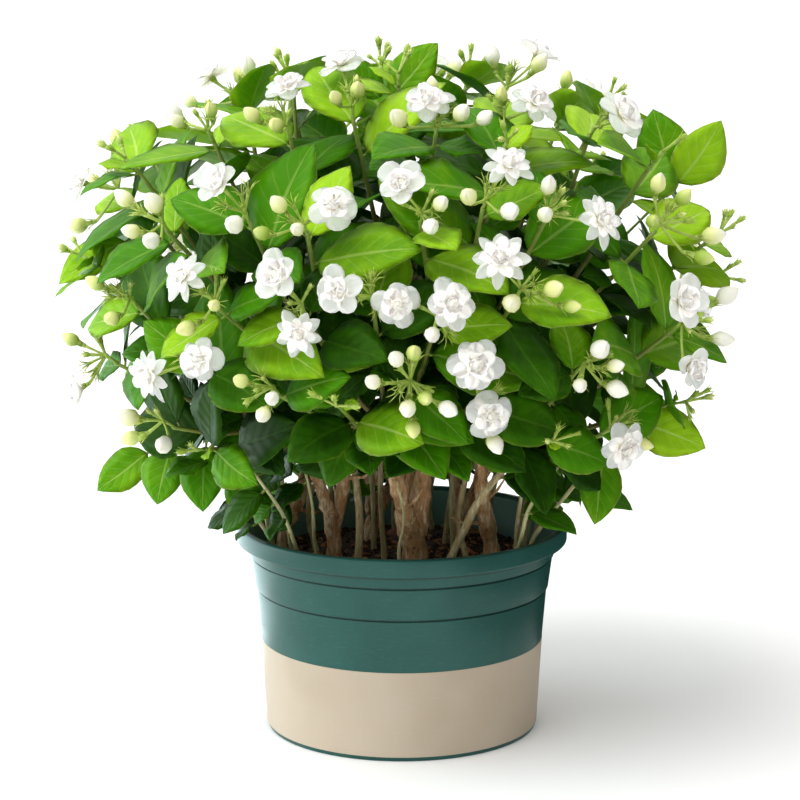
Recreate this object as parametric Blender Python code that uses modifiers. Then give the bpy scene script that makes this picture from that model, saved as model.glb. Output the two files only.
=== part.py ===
"""A potted jasmine: a double-flowered bush in a plastic nursery pot.

Metres, +Z up. The origin is the centre of the pot's underside and the front faces -Y. Azimuths run from the
front towards +X and elevations above the horizon, both in degrees and seen from the middle of the bush.
"""
import math
import random
from dataclasses import dataclass, field

import bmesh
import bpy
from mathutils import Matrix, Vector
from mathutils.bvhtree import BVHTree

MM = 0.001
GAP = 0.3 * MM
SEED = 20

# Pot
POT_HEIGHT = 145 * MM
LIP_RADIUS = 115.3 * MM
LIP_DEPTH = 12 * MM
LIP_WIDTH = 5 * MM
COLLAR_TOP = 123.5 * MM
COLLAR_RADIUS = 106.5 * MM
STEP_TOP = 100.5 * MM
STEP_RADIUS = 102.6 * MM
STEP_SIZE = 1.1 * MM
BAND_TOP = 63 * MM
BAND_BOTTOM = 3 * MM
BAND_RADIUS = 98.6 * MM
FOOT_RADIUS = 95.2 * MM
FOOT_WIDTH = 8 * MM
FOOT_RECESS = 3 * MM
PAD_RADIUS = 30 * MM
WALL = 2 * MM
POT_FLOOR = 5.5 * MM
POT_GUARD = 4 * MM
POT_STEPS = 28
DRAIN_HOLES = 7
DRAIN_RADIUS = 5 * MM
DRAIN_CIRCLE = 58 * MM

# Soil
SOIL_TOP = 117 * MM
SOIL_SWELL = 2.5 * MM
SOIL_WAVE = 1.2 * MM
SOIL_RIPPLE = 68
TRUNK_DEPTH = 30 * MM

# Bush: a rounded box-like dome
CANOPY_CENTRE = Vector((0, 0, 315)) * MM
CANOPY_SIZE = Vector((232, 215, 158)) * MM
CANOPY_POWER = 2.4
CANOPY_REACH = 1.035
SKIRT_MIDDLE = 205 * MM
SKIRT_RISE = 38 * MM
SKIRT_RADIUS = 130 * MM
PARTING_MIDDLE = 10 * MM  # the foliage parts over the trunks at the front
PARTING_WIDTH = 80 * MM
PARTING_RISE = 50 * MM

# Trunks: foot in the soil, thickness there, and the branches that each one carries
TRUNKS = (
    ((-47, -16), 5.6, ("left_low", "left_high")),
    ((9, -36), 8.2, ("front_low", "front_high", "crown_front")),
    ((62, -20), 5.6, ("right_low", "right_high")),
    ((40, 32), 5.0, ("back_right_low", "back_right_high")),
    ((-22, 40), 5.4, ("back_low", "back_high", "crown_back")),
    ((-84, 6), 3.6, ("back_left_low", "back_left_high")),
)

# Branches: azimuth and elevation that each one grows towards
BRANCHES = {
    "left_low": (-58, -8),
    "left_high": (-40, 24),
    "front_low": (-5, -8),
    "front_high": (22, 22),
    "crown_front": (0, 58),
    "right_low": (46, -8),
    "right_high": (66, 26),
    "back_right_low": (108, -4),
    "back_right_high": (140, 28),
    "back_low": (172, -6),
    "back_high": (208, 28),
    "crown_back": (180, 60),
    "back_left_low": (232, -6),
    "back_left_high": (268, 26),
}
LOW_START = (80 * MM, 203 * MM)
HIGH_START = (60 * MM, 236 * MM)
CROWN_START = (18 * MM, 262 * MM)
BRANCH_UPTURN = 0.9
BRANCH_NECK = 6 * MM
BRANCH_AIM_DEPTH = 60 * MM
FORK_HEIGHT = 14 * MM
FORK_STEP = 9 * MM
FORK_BEND = 10 * MM
FORK_SHARE = 0.45
FORK_THINNING = 0.8
TRUNK_END = 1.15
LIMB_LENGTH = 34 * MM
LIMB_RADIUS = 2.3 * MM
LIMB_END = 1.3

# Shoots
SHOOT_RADIUS = 1.4 * MM
SHOOT_TAPER = 1.25
SHOOT_NECK = 4 * MM
SHOOT_SAG = (0.12, 0.1)
SHOOT_SWAY = 1.2 * MM
SHOOT_TRIES = 40
SHOOT_STARTS = (0.02, 0.6)
STEM_SPARE = 1 * MM
SHOOT_SPARE = 0.4 * MM

# Flower heads at the front and on the top: azimuths and elevations of the blooms, then of the buds
FRONT_HEADS = (
    (((-74, -16),), ((-76, -8),)),
    ((), ((-54, -18), (-61, -24), (-48, -23))),
    ((), ((-57, 4), (-52, -1))),
    ((), ((-54, 18), (-49, 13), (-46, 18), (-44, 12))),
    (((-36, 7),), ((-31, 3), (-36, -1))),
    (((-33, 22),), ((-29, 16),)),
    (((-43, -9), (-34, -6)), ()),
    ((), ((-27, -9), (-22, -12), (-24, -15))),
    ((), ((-64, 36), (-57, 34), (-50, 38))),
    (((-34, 47),), ((-37, 38), (-29, 36))),
    (((-12, 20),), ((-22, 20), (-18, 16), (-24, 15))),
    (((-20, 8), (-17, -1)), ()),
    (((-10, 6), (-1, 4)), ()),
    (((-29, 62),), ((-19, 46), (-14, 50))),
    (((7, 44),), ((-1, 40), (15, 41), (20, 39), (10, 52))),
    (((0, 24),), ((7, 21), (5, 17))),
    ((), ((-1, -5), (2, -4), (-5, -9), (1, -14), (4, -12), (2, -18), (8, -14))),
    (((8, 4),), ((5, -1),)),
    (((12, -6), (15, -15)), ((17, -21),)),
    (((20, 27),), ((19, 19), (12, 22))),
    (((16, 11),), ((18, 4), (25, 6), (28, 3))),
    (((34, 41),), ((29, 46),)),
    (((55, 35),), ((62, 39),)),
    (((34, 16),), ((27, 23), (25, 18))),
    ((), ((55, 18), (45, 15), (50, 21), (61, 11), (56, 8))),
    (((48, 2), (53, -9)), ((64, -6), (65, 1))),
    ((), ((33, -4), (36, -7), (37, -11), (30, -10))),
    (((42, -22),), ((49, -23),)),
)
BACK_HEADS = 10
BACK_PAIRS = (2, 6)
BACK_HEAD_START = 92
BACK_HEAD_SWEEP = 182
BACK_HEAD_LOW = -16
BACK_HEAD_HIGH = 58
BACK_PAIR_STEP = 10.5

# Leafy tips with no flowers, placed by hand at the front
FRONT_TIPS = (
    (-3, 72),
    (64, 26),
    (-70, 24),
    (-84, 4),
    (30, -24),
    (-46, -28),
    (66, -20),
    (-12, -16),
    (24, 33),
    (84, 8),
)
BACK_TIPS = 13
BACK_TIP_LOW = -24
BACK_TIP_HIGH = 68
TIP_DEPTH = 22 * MM
GOLDEN = 0.618034

# Stalks of a flower head
HUB_DEPTH = 24 * MM
PEDUNCLE = 9 * MM
PEDUNCLE_RADIUS = 1.1 * MM
PEDICEL_RADIUS = 0.8 * MM
KNOB_RADIUS = 2.6 * MM

# Blooms: the petals' and the inner rosette's tips and clefts are shares of the radius outwards and upwards
BLOOM_RADIUS = (15.5 * MM, 18 * MM)
BLOOM_NECK = 5 * MM
BLOOM_SEAT_RADIUS = 1.5 * MM
BLOOM_SINK = 2
BLOOM_STEP = 4
BLOOM_SHRINK = 0.1
PETALS = 5
PETAL_TIP = (1.0, -0.06)
PETAL_CLEFT = (0.72, 0.06)
WAIST = (0.2, 0.08)
ROSETTE_PETALS = 4
ROSETTE_TIP = (0.62, 0.36)
ROSETTE_CLEFT = (0.4, 0.28)
ROSETTE_HEART = 0.26

# Buds: shares of the length
BUD_LENGTH = (13 * MM, 18 * MM)
BUD_SEAT = 0.46
BUD_SEAT_RADIUS = 1.2 * MM
BUD_GIRTH = 0.37
BUD_SHOULDER = 0.2
BUD_TAPER = 0.86
BUD_SINK = 4

# Room that is kept round the stalks and flowers, and in front of the flowers
STALK_GUARD = (1.8 * MM, 2.8 * MM)
PEDICEL_GUARD = 1.6 * MM
NECK_GUARD = (2.4 * MM, 1.8 * MM)
BLOOM_GUARD = (3.5 * MM, 7 * MM)
BLOOM_GUARD_TAPER = (1.02, 0.7)
BLOOM_SIGHT = 34 * MM
BUD_SIGHT = 26 * MM
BUD_SIGHT_RADIUS = 4 * MM
BUD_GUARD_GIRTH = 1.18
BUD_GUARD_LIFT = 0.5 * MM

# Lift in mm, shrink and spread that a flower head tries in turn until it is clear
HEAD_OPTIONS = (
    (0, 1.0, 1.0),
    (2, 1.0, 1.08),
    (-3, 1.0, 1.12),
    (5, 0.96, 1.12),
    (0, 0.94, 1.2),
    (-5, 0.92, 1.2),
    (8, 0.92, 1.2),
    (0, 0.86, 1.28),
    (5, 0.84, 1.28),
    (-4, 0.8, 1.28),
)

# Leaves
BLADE = 0.6 * MM
LEAF_SIDES = 6
PETIOLE = 5 * MM
PETIOLE_RADIUS = 0.9 * MM
LEAF_CLEAR = 1.3 * MM
LEAF_LENGTHS = ((54 * MM, 70 * MM), (66 * MM, 86 * MM))
LEAF_SLIMNESS = (0.56, 0.68)
LEAF_FOLD = (9, 20)
LEAF_ARCH = (0.04, 0.18)
LEAF_RISE = (0.1, 0.55)
LEAF_TWIST = 0.12
LEAF_WIDEST = 0.85
LEAF_FULLNESS = 0.75
LEAF_SHRINK = 0.03
LEAF_TRIES = 12
FIRST_NODE = 6 * MM
NODE_SPACING = 25 * MM
NODE_VARIETY = (0.9, 1.1)
PAIR_STEP = 1.2 * MM
NODES_ON_SHOOT = 2

WELD = 0.01 * MM
FINE_WELD = 0.002 * MM
SMOOTH_ANGLE = 40
BARK_SMOOTH_ANGLE = 60


@dataclass
class Stem:
    """A tapering stem through its points."""

    points: list
    radii: list


@dataclass
class Leaf:
    """One leaf: where it leaves the stem, its midrib's direction, its upper side and its shape."""

    base: Vector
    along: Vector
    up: Vector
    length: float
    width: float
    fold: float
    arch: float


@dataclass
class Bloom:
    """One double flower, open or half open."""

    centre: Vector
    facing: Vector
    radius: float
    turn: float


@dataclass
class Bud:
    """One closed flower bud."""

    centre: Vector
    facing: Vector
    length: float


@dataclass
class Head:
    """A cluster of blooms and buds on one stalk."""

    name: str
    root: Vector
    lean: Vector
    hub: Vector
    blooms: list = field(default_factory=list)
    buds: list = field(default_factory=list)


@dataclass
class Shoot:
    """One green stem from a branch's limb to its tip, and the leaves on it."""

    stem: Stem
    leaves: list = field(default_factory=list)


@dataclass
class Branch:
    """A leafy branch: its limb and the shoots that fork from it."""

    name: str
    limb: Stem
    shoots: list = field(default_factory=list)


class Crowd:
    """What has been placed so far, so that each new piece is bent clear of it."""

    def __init__(self):
        """Starts empty."""
        self.placed = []

    def add(self, mesh, owner, sight=False):
        """Keeps a bmesh's shape under its owner's name. A line of sight only keeps leaves away."""
        points = [vert.co for vert in mesh.verts]
        middle = sum(points, Vector()) / len(points)
        reach = max((point - middle).length for point in points)
        self.placed.append((BVHTree.FromBMesh(mesh), middle, reach, owner, sight))
        mesh.free()

    def touches(self, mesh, skip=(), heed_sight=False):
        """True if a bmesh meets anything placed, apart from owners whose names start as skipped."""
        points = [vert.co for vert in mesh.verts]
        middle = sum(points, Vector()) / len(points)
        reach = max((point - middle).length for point in points)
        tree = BVHTree.FromBMesh(mesh)
        mesh.free()
        for other, centre, span, owner, sight in self.placed:
            if owner.startswith(skip) or (sight and not heed_sight):
                continue
            if (centre - middle).length < reach + span and tree.overlap(other):
                return True
        return False


def aim(azimuth, elevation):
    """Unit vector of an azimuth and an elevation."""
    turn = math.radians(azimuth)
    rise = math.radians(elevation)
    return Vector((math.sin(turn) * math.cos(rise), -math.cos(turn) * math.cos(rise), math.sin(rise)))


def canopy_depth(point):
    """1 on the canopy's surface, less inside it and more outside."""
    offset = point - CANOPY_CENTRE
    total = sum(abs(part / size) ** CANOPY_POWER for part, size in zip(offset, CANOPY_SIZE))
    return total ** (1 / CANOPY_POWER)


def canopy_point(direction, lift=0.0):
    """Point of the canopy's surface in a direction, lifted outwards."""
    reach = 1 / canopy_depth(CANOPY_CENTRE + direction)
    return CANOPY_CENTRE + direction * (reach + lift)


def skirt_height(point):
    """Lowest height that leaves reach over a point of the plan: higher over the trunks and their front."""
    spread = min(1.0, math.hypot(point.x, point.y) / SKIRT_RADIUS)
    ahead = min(1.0, max(0.0, -point.y / SKIRT_RADIUS))
    parting = ahead * math.exp(-((point.x - PARTING_MIDDLE) / PARTING_WIDTH) ** 2)
    return SKIRT_MIDDLE - SKIRT_RISE * spread ** 2 + PARTING_RISE * parting


def frame_to(origin, forward, up_hint):
    """Matrix that puts local +Y along forward and local +Z near up_hint, at origin."""
    y_axis = forward.normalized()
    x_axis = y_axis.cross(up_hint).normalized()
    z_axis = x_axis.cross(y_axis)
    return Matrix.Translation(origin) @ Matrix((x_axis, y_axis, z_axis)).transposed().to_4x4()


def facing_frame(origin, facing):
    """Matrix that puts local +Z along facing, at origin."""
    return Matrix.Translation(origin) @ facing.to_track_quat("Z", "X").to_matrix().to_4x4()


def arc_points(start, bend, end, steps):
    """Points of a quadratic curve from start to end, pulled towards bend."""
    points = []
    for index in range(steps + 1):
        share = index / steps
        first = start.lerp(bend, share)
        second = bend.lerp(end, share)
        points.append(first.lerp(second, share))
    return points


def cone_between(start, end, start_radius, end_radius, sides):
    """A closed tapering bar between two points, as a bmesh."""
    mesh = bmesh.new()
    middle = (start + end) / 2
    bmesh.ops.create_cone(
        mesh,
        cap_ends=True,
        cap_tris=False,
        segments=sides,
        radius1=start_radius,
        radius2=end_radius,
        depth=(end - start).length,
        matrix=facing_frame(middle, (end - start).normalized()),
    )
    return mesh


def bridge(mesh, low, high):
    """Joins two rings of points, with quads where they match. One point is a tip."""
    if len(low) == len(high):
        for index in range(len(low)):
            after = (index + 1) % len(low)
            mesh.faces.new((low[index], low[after], high[after], high[index]))
        return
    low_steps = len(low) if len(low) > 1 else 0
    high_steps = len(high) if len(high) > 1 else 0
    here = there = 0
    while here < low_steps or there < high_steps:
        low_next = (here + 1) / low_steps if here < low_steps else 2
        high_next = (there + 1) / high_steps if there < high_steps else 2
        first = low[here % len(low)]
        second = high[there % len(high)]
        if low_next <= high_next:
            mesh.faces.new((first, low[(here + 1) % len(low)], second))
            here += 1
        else:
            mesh.faces.new((first, high[(there + 1) % len(high)], second))
            there += 1


def closed_loft(rings):
    """A closed body through rings of points, as a bmesh."""
    mesh = bmesh.new()
    loops = [[mesh.verts.new(point) for point in ring] for ring in rings]
    for low, high in zip(loops, loops[1:]):
        bridge(mesh, low, high)
    for loop in (loops[0], loops[-1]):
        if len(loop) > 2:
            mesh.faces.new(loop)
    bmesh.ops.recalc_face_normals(mesh, faces=mesh.faces[:])
    return mesh


def ring_points(place, count, radii, heights, turn=0.0):
    """Points round a frame's local Z, whose radii and heights repeat round the ring."""
    points = []
    for index in range(count):
        angle = turn + math.tau * index / count
        radius = radii[index % len(radii)]
        height = heights[index % len(heights)]
        points.append(place @ Vector((radius * math.cos(angle), radius * math.sin(angle), height)))
    return points


def leaf_point(leaf, place, share, side, drop=0.0, grow=0.0):
    """A point of a leaf's blade, a share of the way to its tip, on its left (-1) or right (1) edge."""
    half = 0.5 * leaf.width * math.sin(math.pi * share ** LEAF_WIDEST) ** LEAF_FULLNESS + grow
    across = side * half
    height = abs(across) * math.tan(leaf.fold) - leaf.arch * leaf.length * share ** 2 - drop
    return place @ Vector((across, PETIOLE + share * (leaf.length - PETIOLE), height))


def leaf_body(leaf, thickness=BLADE, grow=0.0):
    """A leaf on its short stalk: a blade folded at the midrib and arched, as a closed bmesh."""
    place = frame_to(leaf.base, leaf.along, leaf.up)
    shares = [0.5 - 0.5 * math.cos(math.tau * step / LEAF_SIDES) for step in range(1, LEAF_SIDES // 2)]
    outline = [(share, 1) for share in shares] + [(1.0, 0)] + [(share, -1) for share in reversed(shares)]
    drop = thickness / 2
    top = [leaf_point(leaf, place, share, side, -drop, grow) for share, side in outline]
    bottom = [leaf_point(leaf, place, share, side, drop, grow) for share, side in outline]
    corners = [(PETIOLE_RADIUS * math.cos(turn), PETIOLE_RADIUS * math.sin(turn))
               for turn in (math.pi / 2, math.pi * 7 / 6, math.pi * 11 / 6)]
    mesh = bmesh.new()
    high = [mesh.verts.new(point) for point in top]
    low = [mesh.verts.new(point) for point in bottom]
    root = [mesh.verts.new(place @ Vector((x, 0, z))) for x, z in corners]
    neck = [mesh.verts.new(place @ Vector((x, PETIOLE, z))) for x, z in corners]
    crest, left, right = neck
    mesh.faces.new(root)
    bridge(mesh, root, neck)
    half = len(high) // 2
    for index in range(len(high) - 1):
        mesh.faces.new((high[index], high[index + 1], low[index + 1], low[index]))
    for side, corner in ((range(half), right), (range(len(high) - 1, half, -1), left)):
        edge = side[0]
        mesh.faces.new((crest, high[edge], high[half]))
        mesh.faces.new((corner, low[edge], low[half]))
        mesh.faces.new((crest, corner, low[edge], high[edge]))
        for index in side:
            step = 1 if index < half else -1
            if index + step != half:
                mesh.faces.new((high[index], high[index + step], high[half]))
                mesh.faces.new((low[index], low[index + step], low[half]))
    mesh.faces.new((left, right, low[half]))
    bmesh.ops.recalc_face_normals(mesh, faces=mesh.faces[:])
    return mesh


def bloom_body(bloom, hub):
    """One double flower on its stalk: a ring of broad petals, a waist and a rosette of smaller ones."""
    place = facing_frame(bloom.centre, bloom.facing)
    neck = bloom.centre - bloom.facing * BLOOM_NECK
    line = (neck - hub).normalized()
    spread, level = zip(*(Vector(pair) * bloom.radius for pair in (PETAL_CLEFT, PETAL_TIP)))
    below = tuple(height - BLADE for height in level)
    waist, waist_height = Vector(WAIST) * bloom.radius
    rosette, crest = zip(*(Vector(pair) * bloom.radius for pair in (ROSETTE_CLEFT, ROSETTE_TIP)))
    return closed_loft([
        ring_points(facing_frame(hub, line), 3, (PEDICEL_RADIUS,), (0,)),
        ring_points(facing_frame(neck, line), 3, (BLOOM_SEAT_RADIUS,), (0,)),
        ring_points(place, 2 * PETALS, spread, below, bloom.turn),
        ring_points(place, 2 * PETALS, spread, level, bloom.turn),
        ring_points(place, 4, (waist,), (waist_height,), bloom.turn),
        ring_points(place, 2 * ROSETTE_PETALS, rosette, crest, bloom.turn),
        [place @ Vector((0, 0, ROSETTE_HEART * bloom.radius))],
    ])


def bud_guard(bud):
    """The room that a bud needs, as a bmesh."""
    mesh = bmesh.new()
    bmesh.ops.create_uvsphere(mesh, u_segments=4, v_segments=3, radius=1.0)
    place = facing_frame(bud.centre, bud.facing)
    girth = bud.length * BUD_GIRTH * BUD_GUARD_GIRTH
    height = bud.length / 2 + BUD_GUARD_LIFT
    bmesh.ops.transform(mesh, matrix=place @ Matrix.Diagonal((girth, girth, height, 1.0)), verts=mesh.verts)
    return mesh


def bud_body(bud, hub):
    """One bud on its stalk: an egg drawn out to a blunt tip."""
    base = bud.centre - bud.facing * bud.length * BUD_SEAT
    line = (base - hub).normalized()
    place = facing_frame(bud.centre, bud.facing)
    girth = BUD_GIRTH * bud.length
    shoulder = BUD_SHOULDER * bud.length
    return closed_loft([
        ring_points(facing_frame(hub, line), 3, (PEDICEL_RADIUS,), (0,)),
        ring_points(facing_frame(base, line), 3, (BUD_SEAT_RADIUS,), (0,)),
        ring_points(place, 4, (girth,), (-shoulder,)),
        ring_points(place, 4, (BUD_TAPER * girth,), (shoulder,)),
        [place @ Vector((0, 0, bud.length / 2))],
    ])


def head_guards(head):
    """The room that a head needs: for its stalks, for its blooms and buds, and in front of those."""
    stalks = [cone_between(head.root, head.hub, *STALK_GUARD, 4)]
    flowers = []
    sights = []
    for bloom in head.blooms:
        neck = bloom.centre - bloom.facing * BLOOM_NECK
        stalks.append(cone_between(head.hub, neck, PEDICEL_GUARD, NECK_GUARD[0], 4))
        low = bloom.centre - bloom.facing * BLOOM_GUARD[0]
        high = bloom.centre + bloom.facing * BLOOM_GUARD[1]
        wide, narrow = (bloom.radius * share for share in BLOOM_GUARD_TAPER)
        flowers.append(cone_between(low, high, wide, narrow, 10))
        far = bloom.centre + bloom.facing * BLOOM_SIGHT
        sights.append(cone_between(high, far, narrow, narrow, 6))
    for bud in head.buds:
        base = bud.centre - bud.facing * bud.length * BUD_SEAT
        stalks.append(cone_between(head.hub, base, PEDICEL_GUARD, NECK_GUARD[1], 4))
        flowers.append(bud_guard(bud))
        far = bud.centre + bud.facing * BUD_SIGHT
        sights.append(cone_between(bud.centre, far, BUD_SIGHT_RADIUS, BUD_SIGHT_RADIUS, 4))
    return stalks, flowers, sights


def crossings(stalks, flowers, blooms):
    """How many times a head's own pieces cross: its flowers each other, and its blooms the other stalks."""
    trees = [BVHTree.FromBMesh(flower) for flower in flowers]
    lines = [BVHTree.FromBMesh(stalk) for stalk in stalks[1:]]
    count = 0
    for index, tree in enumerate(trees):
        count += sum(1 for other in trees[index + 1:] if tree.overlap(other))
        if index < blooms:
            count += sum(1 for order, line in enumerate(lines) if order != index and tree.overlap(line))
    return count


def stem_guards(stem, spare=STEM_SPARE):
    """Shapes that stand for a stem while other pieces are placed."""
    guards = []
    for start, end, radius in zip(stem.points, stem.points[1:], stem.radii):
        guards.append(cone_between(start, end, radius + spare, radius + spare, 4))
    return guards


def branch_start(name):
    """Where a branch begins, at the end of its trunk."""
    azimuth = BRANCHES[name][0]
    reach, height = CROWN_START if "crown" in name else LOW_START if "low" in name else HIGH_START
    flat = aim(azimuth, 0)
    return Vector((flat.x * reach, flat.y * reach, height))


def branch_lean(name):
    """The direction in which a branch leaves its trunk."""
    azimuth, elevation = BRANCHES[name]
    return (aim(azimuth, elevation) + Vector((0, 0, BRANCH_UPTURN))).normalized()


def trunk_stems(foot, radius, carried):
    """The forked stems of one trunk: the first runs from the soil, the others leave it higher up."""
    ground = Vector((foot[0] * MM, foot[1] * MM, SOIL_TOP))
    stems = []
    for order, name in enumerate(carried):
        end = branch_start(name)
        lean = branch_lean(name)
        neck = end - lean * BRANCH_NECK
        fork = ground + Vector((0, 0, FORK_HEIGHT + FORK_STEP * order))
        bend = fork.lerp(neck, FORK_SHARE) - lean * FORK_BEND
        path = arc_points(fork, bend, neck, 3)
        if order == 0:
            path = [ground - Vector((0, 0, TRUNK_DEPTH))] + path
        path.append(end - lean * GAP)
        thin = radius * MM * (1.0 if order == 0 else FORK_THINNING)
        last = LIMB_RADIUS * TRUNK_END
        radii = [thin + (last - thin) * max(0.0, index - 1) / (len(path) - 2) for index in range(len(path))]
        stems.append(Stem(path, radii))
    return stems


def grow_head(index, bloom_aims, bud_aims, crowd, rng):
    """Places one flower head clear of the others, each bloom and bud near its own aim."""
    middle = sum((aim(*pair) for pair in bloom_aims + bud_aims), Vector()).normalized()
    hub = canopy_point(middle, -HUB_DEPTH)
    lean = (middle * 0.6 + Vector((0, 0, 0.55))).normalized()
    size = rng.uniform(*BLOOM_RADIUS)
    turns = [rng.uniform(0, math.tau) for _ in bloom_aims]
    lengths = [rng.uniform(*BUD_LENGTH) for _ in bud_aims]
    best = None
    for lift, shrink, spread in HEAD_OPTIONS:
        head = Head(f"flower_head_{index + 1:02d}", hub - lean * PEDUNCLE, lean, hub)
        for order, (pair, turn) in enumerate(zip(bloom_aims, turns)):
            outward = middle.lerp(aim(*pair), spread).normalized()
            spot = canopy_point(outward, (lift - BLOOM_SINK - BLOOM_STEP * order) * MM)
            facing = (outward + Vector((0, 0, 0.2)) + (spot - hub).normalized() * 0.3).normalized()
            head.blooms.append(Bloom(spot, facing, size * shrink * (1 - BLOOM_SHRINK * order), turn))
        for pair, length in zip(bud_aims, lengths):
            outward = middle.lerp(aim(*pair), spread).normalized()
            spot = canopy_point(outward, (lift - BUD_SINK) * MM)
            facing = (outward * 0.5 + Vector((0, 0, 0.35)) + (spot - hub).normalized()).normalized()
            head.buds.append(Bud(spot, facing, length))
        stalks, flowers, sights = head_guards(head)
        cost = crossings(stalks, flowers, len(head.blooms))
        cost += 5 * sum(1 for guard in stalks + flowers if crowd.touches(guard.copy()))
        if best is None or cost < best[0]:
            best = (cost, head, stalks + flowers, sights)
        if cost == 0:
            break
    head, guards, sights = best[1:]
    crowd.add(guards.pop(0), f"{head.name}.stalk")
    for guard in guards:
        crowd.add(guard, head.name)
    for sight in sights:
        crowd.add(sight, head.name, sight=True)
    return head


def back_head_aims(rng):
    """Aims of the blooms and buds of the heads on the far side, spread by the golden ratio."""
    for index in range(BACK_HEADS):
        azimuth = BACK_HEAD_START + BACK_HEAD_SWEEP * ((0.5 + index * GOLDEN) % 1)
        elevation = BACK_HEAD_LOW + (BACK_HEAD_HIGH - BACK_HEAD_LOW) * index / (BACK_HEADS - 1)
        widen = 1 / math.cos(math.radians(elevation))
        blooms = [(azimuth, elevation)]
        if index in BACK_PAIRS:
            blooms.append((azimuth + BACK_PAIR_STEP * widen, elevation - rng.uniform(1, 4)))
        buds = [(azimuth - rng.uniform(6, 8) * widen, elevation + rng.uniform(-3, 4))]
        buds.append((azimuth + rng.uniform(-3, 3) * widen, elevation + rng.uniform(8, 10)))
        if index % 3 == 1:
            buds.append((azimuth - rng.uniform(2, 6) * widen, elevation - rng.uniform(8, 10)))
        yield tuple(blooms), tuple(buds)


def leafy_tip_aims():
    """Aims of the tips that carry only leaves."""
    yield from FRONT_TIPS
    for index in range(BACK_TIPS):
        azimuth = BACK_HEAD_START + BACK_HEAD_SWEEP * ((0.15 + index * GOLDEN) % 1)
        elevation = BACK_TIP_LOW + (BACK_TIP_HIGH - BACK_TIP_LOW) * index / (BACK_TIPS - 1)
        yield azimuth, elevation


def nearest_branch(direction):
    """The branch that grows most nearly in a direction."""
    return max(BRANCHES, key=lambda name: aim(*BRANCHES[name]).dot(direction))


def grow_shoot(branch, order, share, tip, lean, own, crowd, rng):
    """Grows a shoot from its share of a branch's limb to a tip, bent clear of what is placed."""
    start = branch.limb.points[-1].lerp(branch.limb.points[-2], share)
    neck = tip - lean * SHOOT_NECK
    reach = (neck - start).length
    sag = lean * reach * SHOOT_SAG[0] + Vector((0, 0, reach * SHOOT_SAG[1]))
    taper = SHOOT_RADIUS * SHOOT_TAPER
    for attempt in range(SHOOT_TRIES):
        sway = Vector((rng.uniform(-1, 1), rng.uniform(-1, 1), rng.uniform(-1, 1))) * attempt * SHOOT_SWAY
        path = arc_points(start, start.lerp(neck, 0.5) - sag + sway, neck, 2)
        stem = Stem(path + [tip], [taper, taper, SHOOT_RADIUS, SHOOT_RADIUS])
        guards = stem_guards(stem)
        last = guards.pop()
        clear = not crowd.touches(last, skip=(branch.name, f"{own}.stalk"))
        for guard in guards:
            clear = clear and not crowd.touches(guard.copy(), skip=(branch.name,))
        if clear:
            break
    for guard in stem_guards(stem, spare=SHOOT_SPARE):
        crowd.add(guard, f"{branch.name}_{order}.")
    return Shoot(stem) if clear else None


def along_path(points, distance):
    """The point and the direction at a distance back from the end of a path."""
    for start, end in zip(reversed(points[:-1]), reversed(points[1:])):
        step = (end - start).length
        if distance <= step:
            return end.lerp(start, distance / step), (end - start).normalized()
        distance -= step
    return None


def leaf_fits(leaf, own, crowd):
    """True if a leaf stays inside the bush's outline and clear of everything but its own stem."""
    tip = leaf.base + leaf.along * leaf.length
    middle = leaf.base + leaf.along * leaf.length * 0.5
    if canopy_depth(tip) > CANOPY_REACH or canopy_depth(middle) > CANOPY_REACH:
        return False
    if tip.z < skirt_height(tip) or middle.z < skirt_height(middle):
        return False
    return not crowd.touches(leaf_body(leaf, 2 * LEAF_CLEAR, LEAF_CLEAR), skip=(own + ".",), heed_sight=True)


def grow_leaf(base, axis, side, node, own, crowd, rng):
    """Finds a leaf for one side of a stem node, or None where there is no room."""
    outward = (base - CANOPY_CENTRE).normalized()
    length = rng.uniform(*LEAF_LENGTHS[node])
    slimness = rng.uniform(*LEAF_SLIMNESS)
    for attempt in range(LEAF_TRIES):
        twist = Matrix.Rotation(rng.uniform(-LEAF_TWIST, LEAF_TWIST) * (1 + attempt), 3, axis)
        rise = rng.uniform(*LEAF_RISE)
        along = ((twist @ side) * math.cos(rise) + axis * math.sin(rise)).normalized()
        up = outward * 0.75 + Vector((0, 0, 0.65)) + axis * 0.25
        up = (up - along * up.dot(along)).normalized()
        size = length * (1 - LEAF_SHRINK * attempt)
        leaf = Leaf(
            base=base,
            along=along,
            up=up,
            length=size,
            width=size * slimness,
            fold=math.radians(rng.uniform(*LEAF_FOLD)),
            arch=rng.uniform(*LEAF_ARCH),
        )
        if leaf_fits(leaf, own, crowd):
            return leaf
    return None


def grow_leaves(shoot, own, crowd, rng):
    """Sets leaves in opposite pairs down a shoot, each pair turned a quarter from the last."""
    turn = rng.uniform(0, math.pi)
    for node in range(NODES_ON_SHOOT):
        spot = along_path(shoot.stem.points, FIRST_NODE + node * NODE_SPACING * rng.uniform(*NODE_VARIETY))
        if spot is None:
            return
        point, axis = spot
        for half in range(2):
            angle = turn + node * math.pi / 2 + half * math.pi
            side = (Matrix.Rotation(angle, 3, axis) @ axis.orthogonal()).normalized()
            base = point + axis * half * PAIR_STEP
            leaf = grow_leaf(base, axis, side, node, own, crowd, rng)
            if leaf:
                shoot.leaves.append(leaf)
                crowd.add(leaf_body(leaf), f"leaf of {own}")


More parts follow.
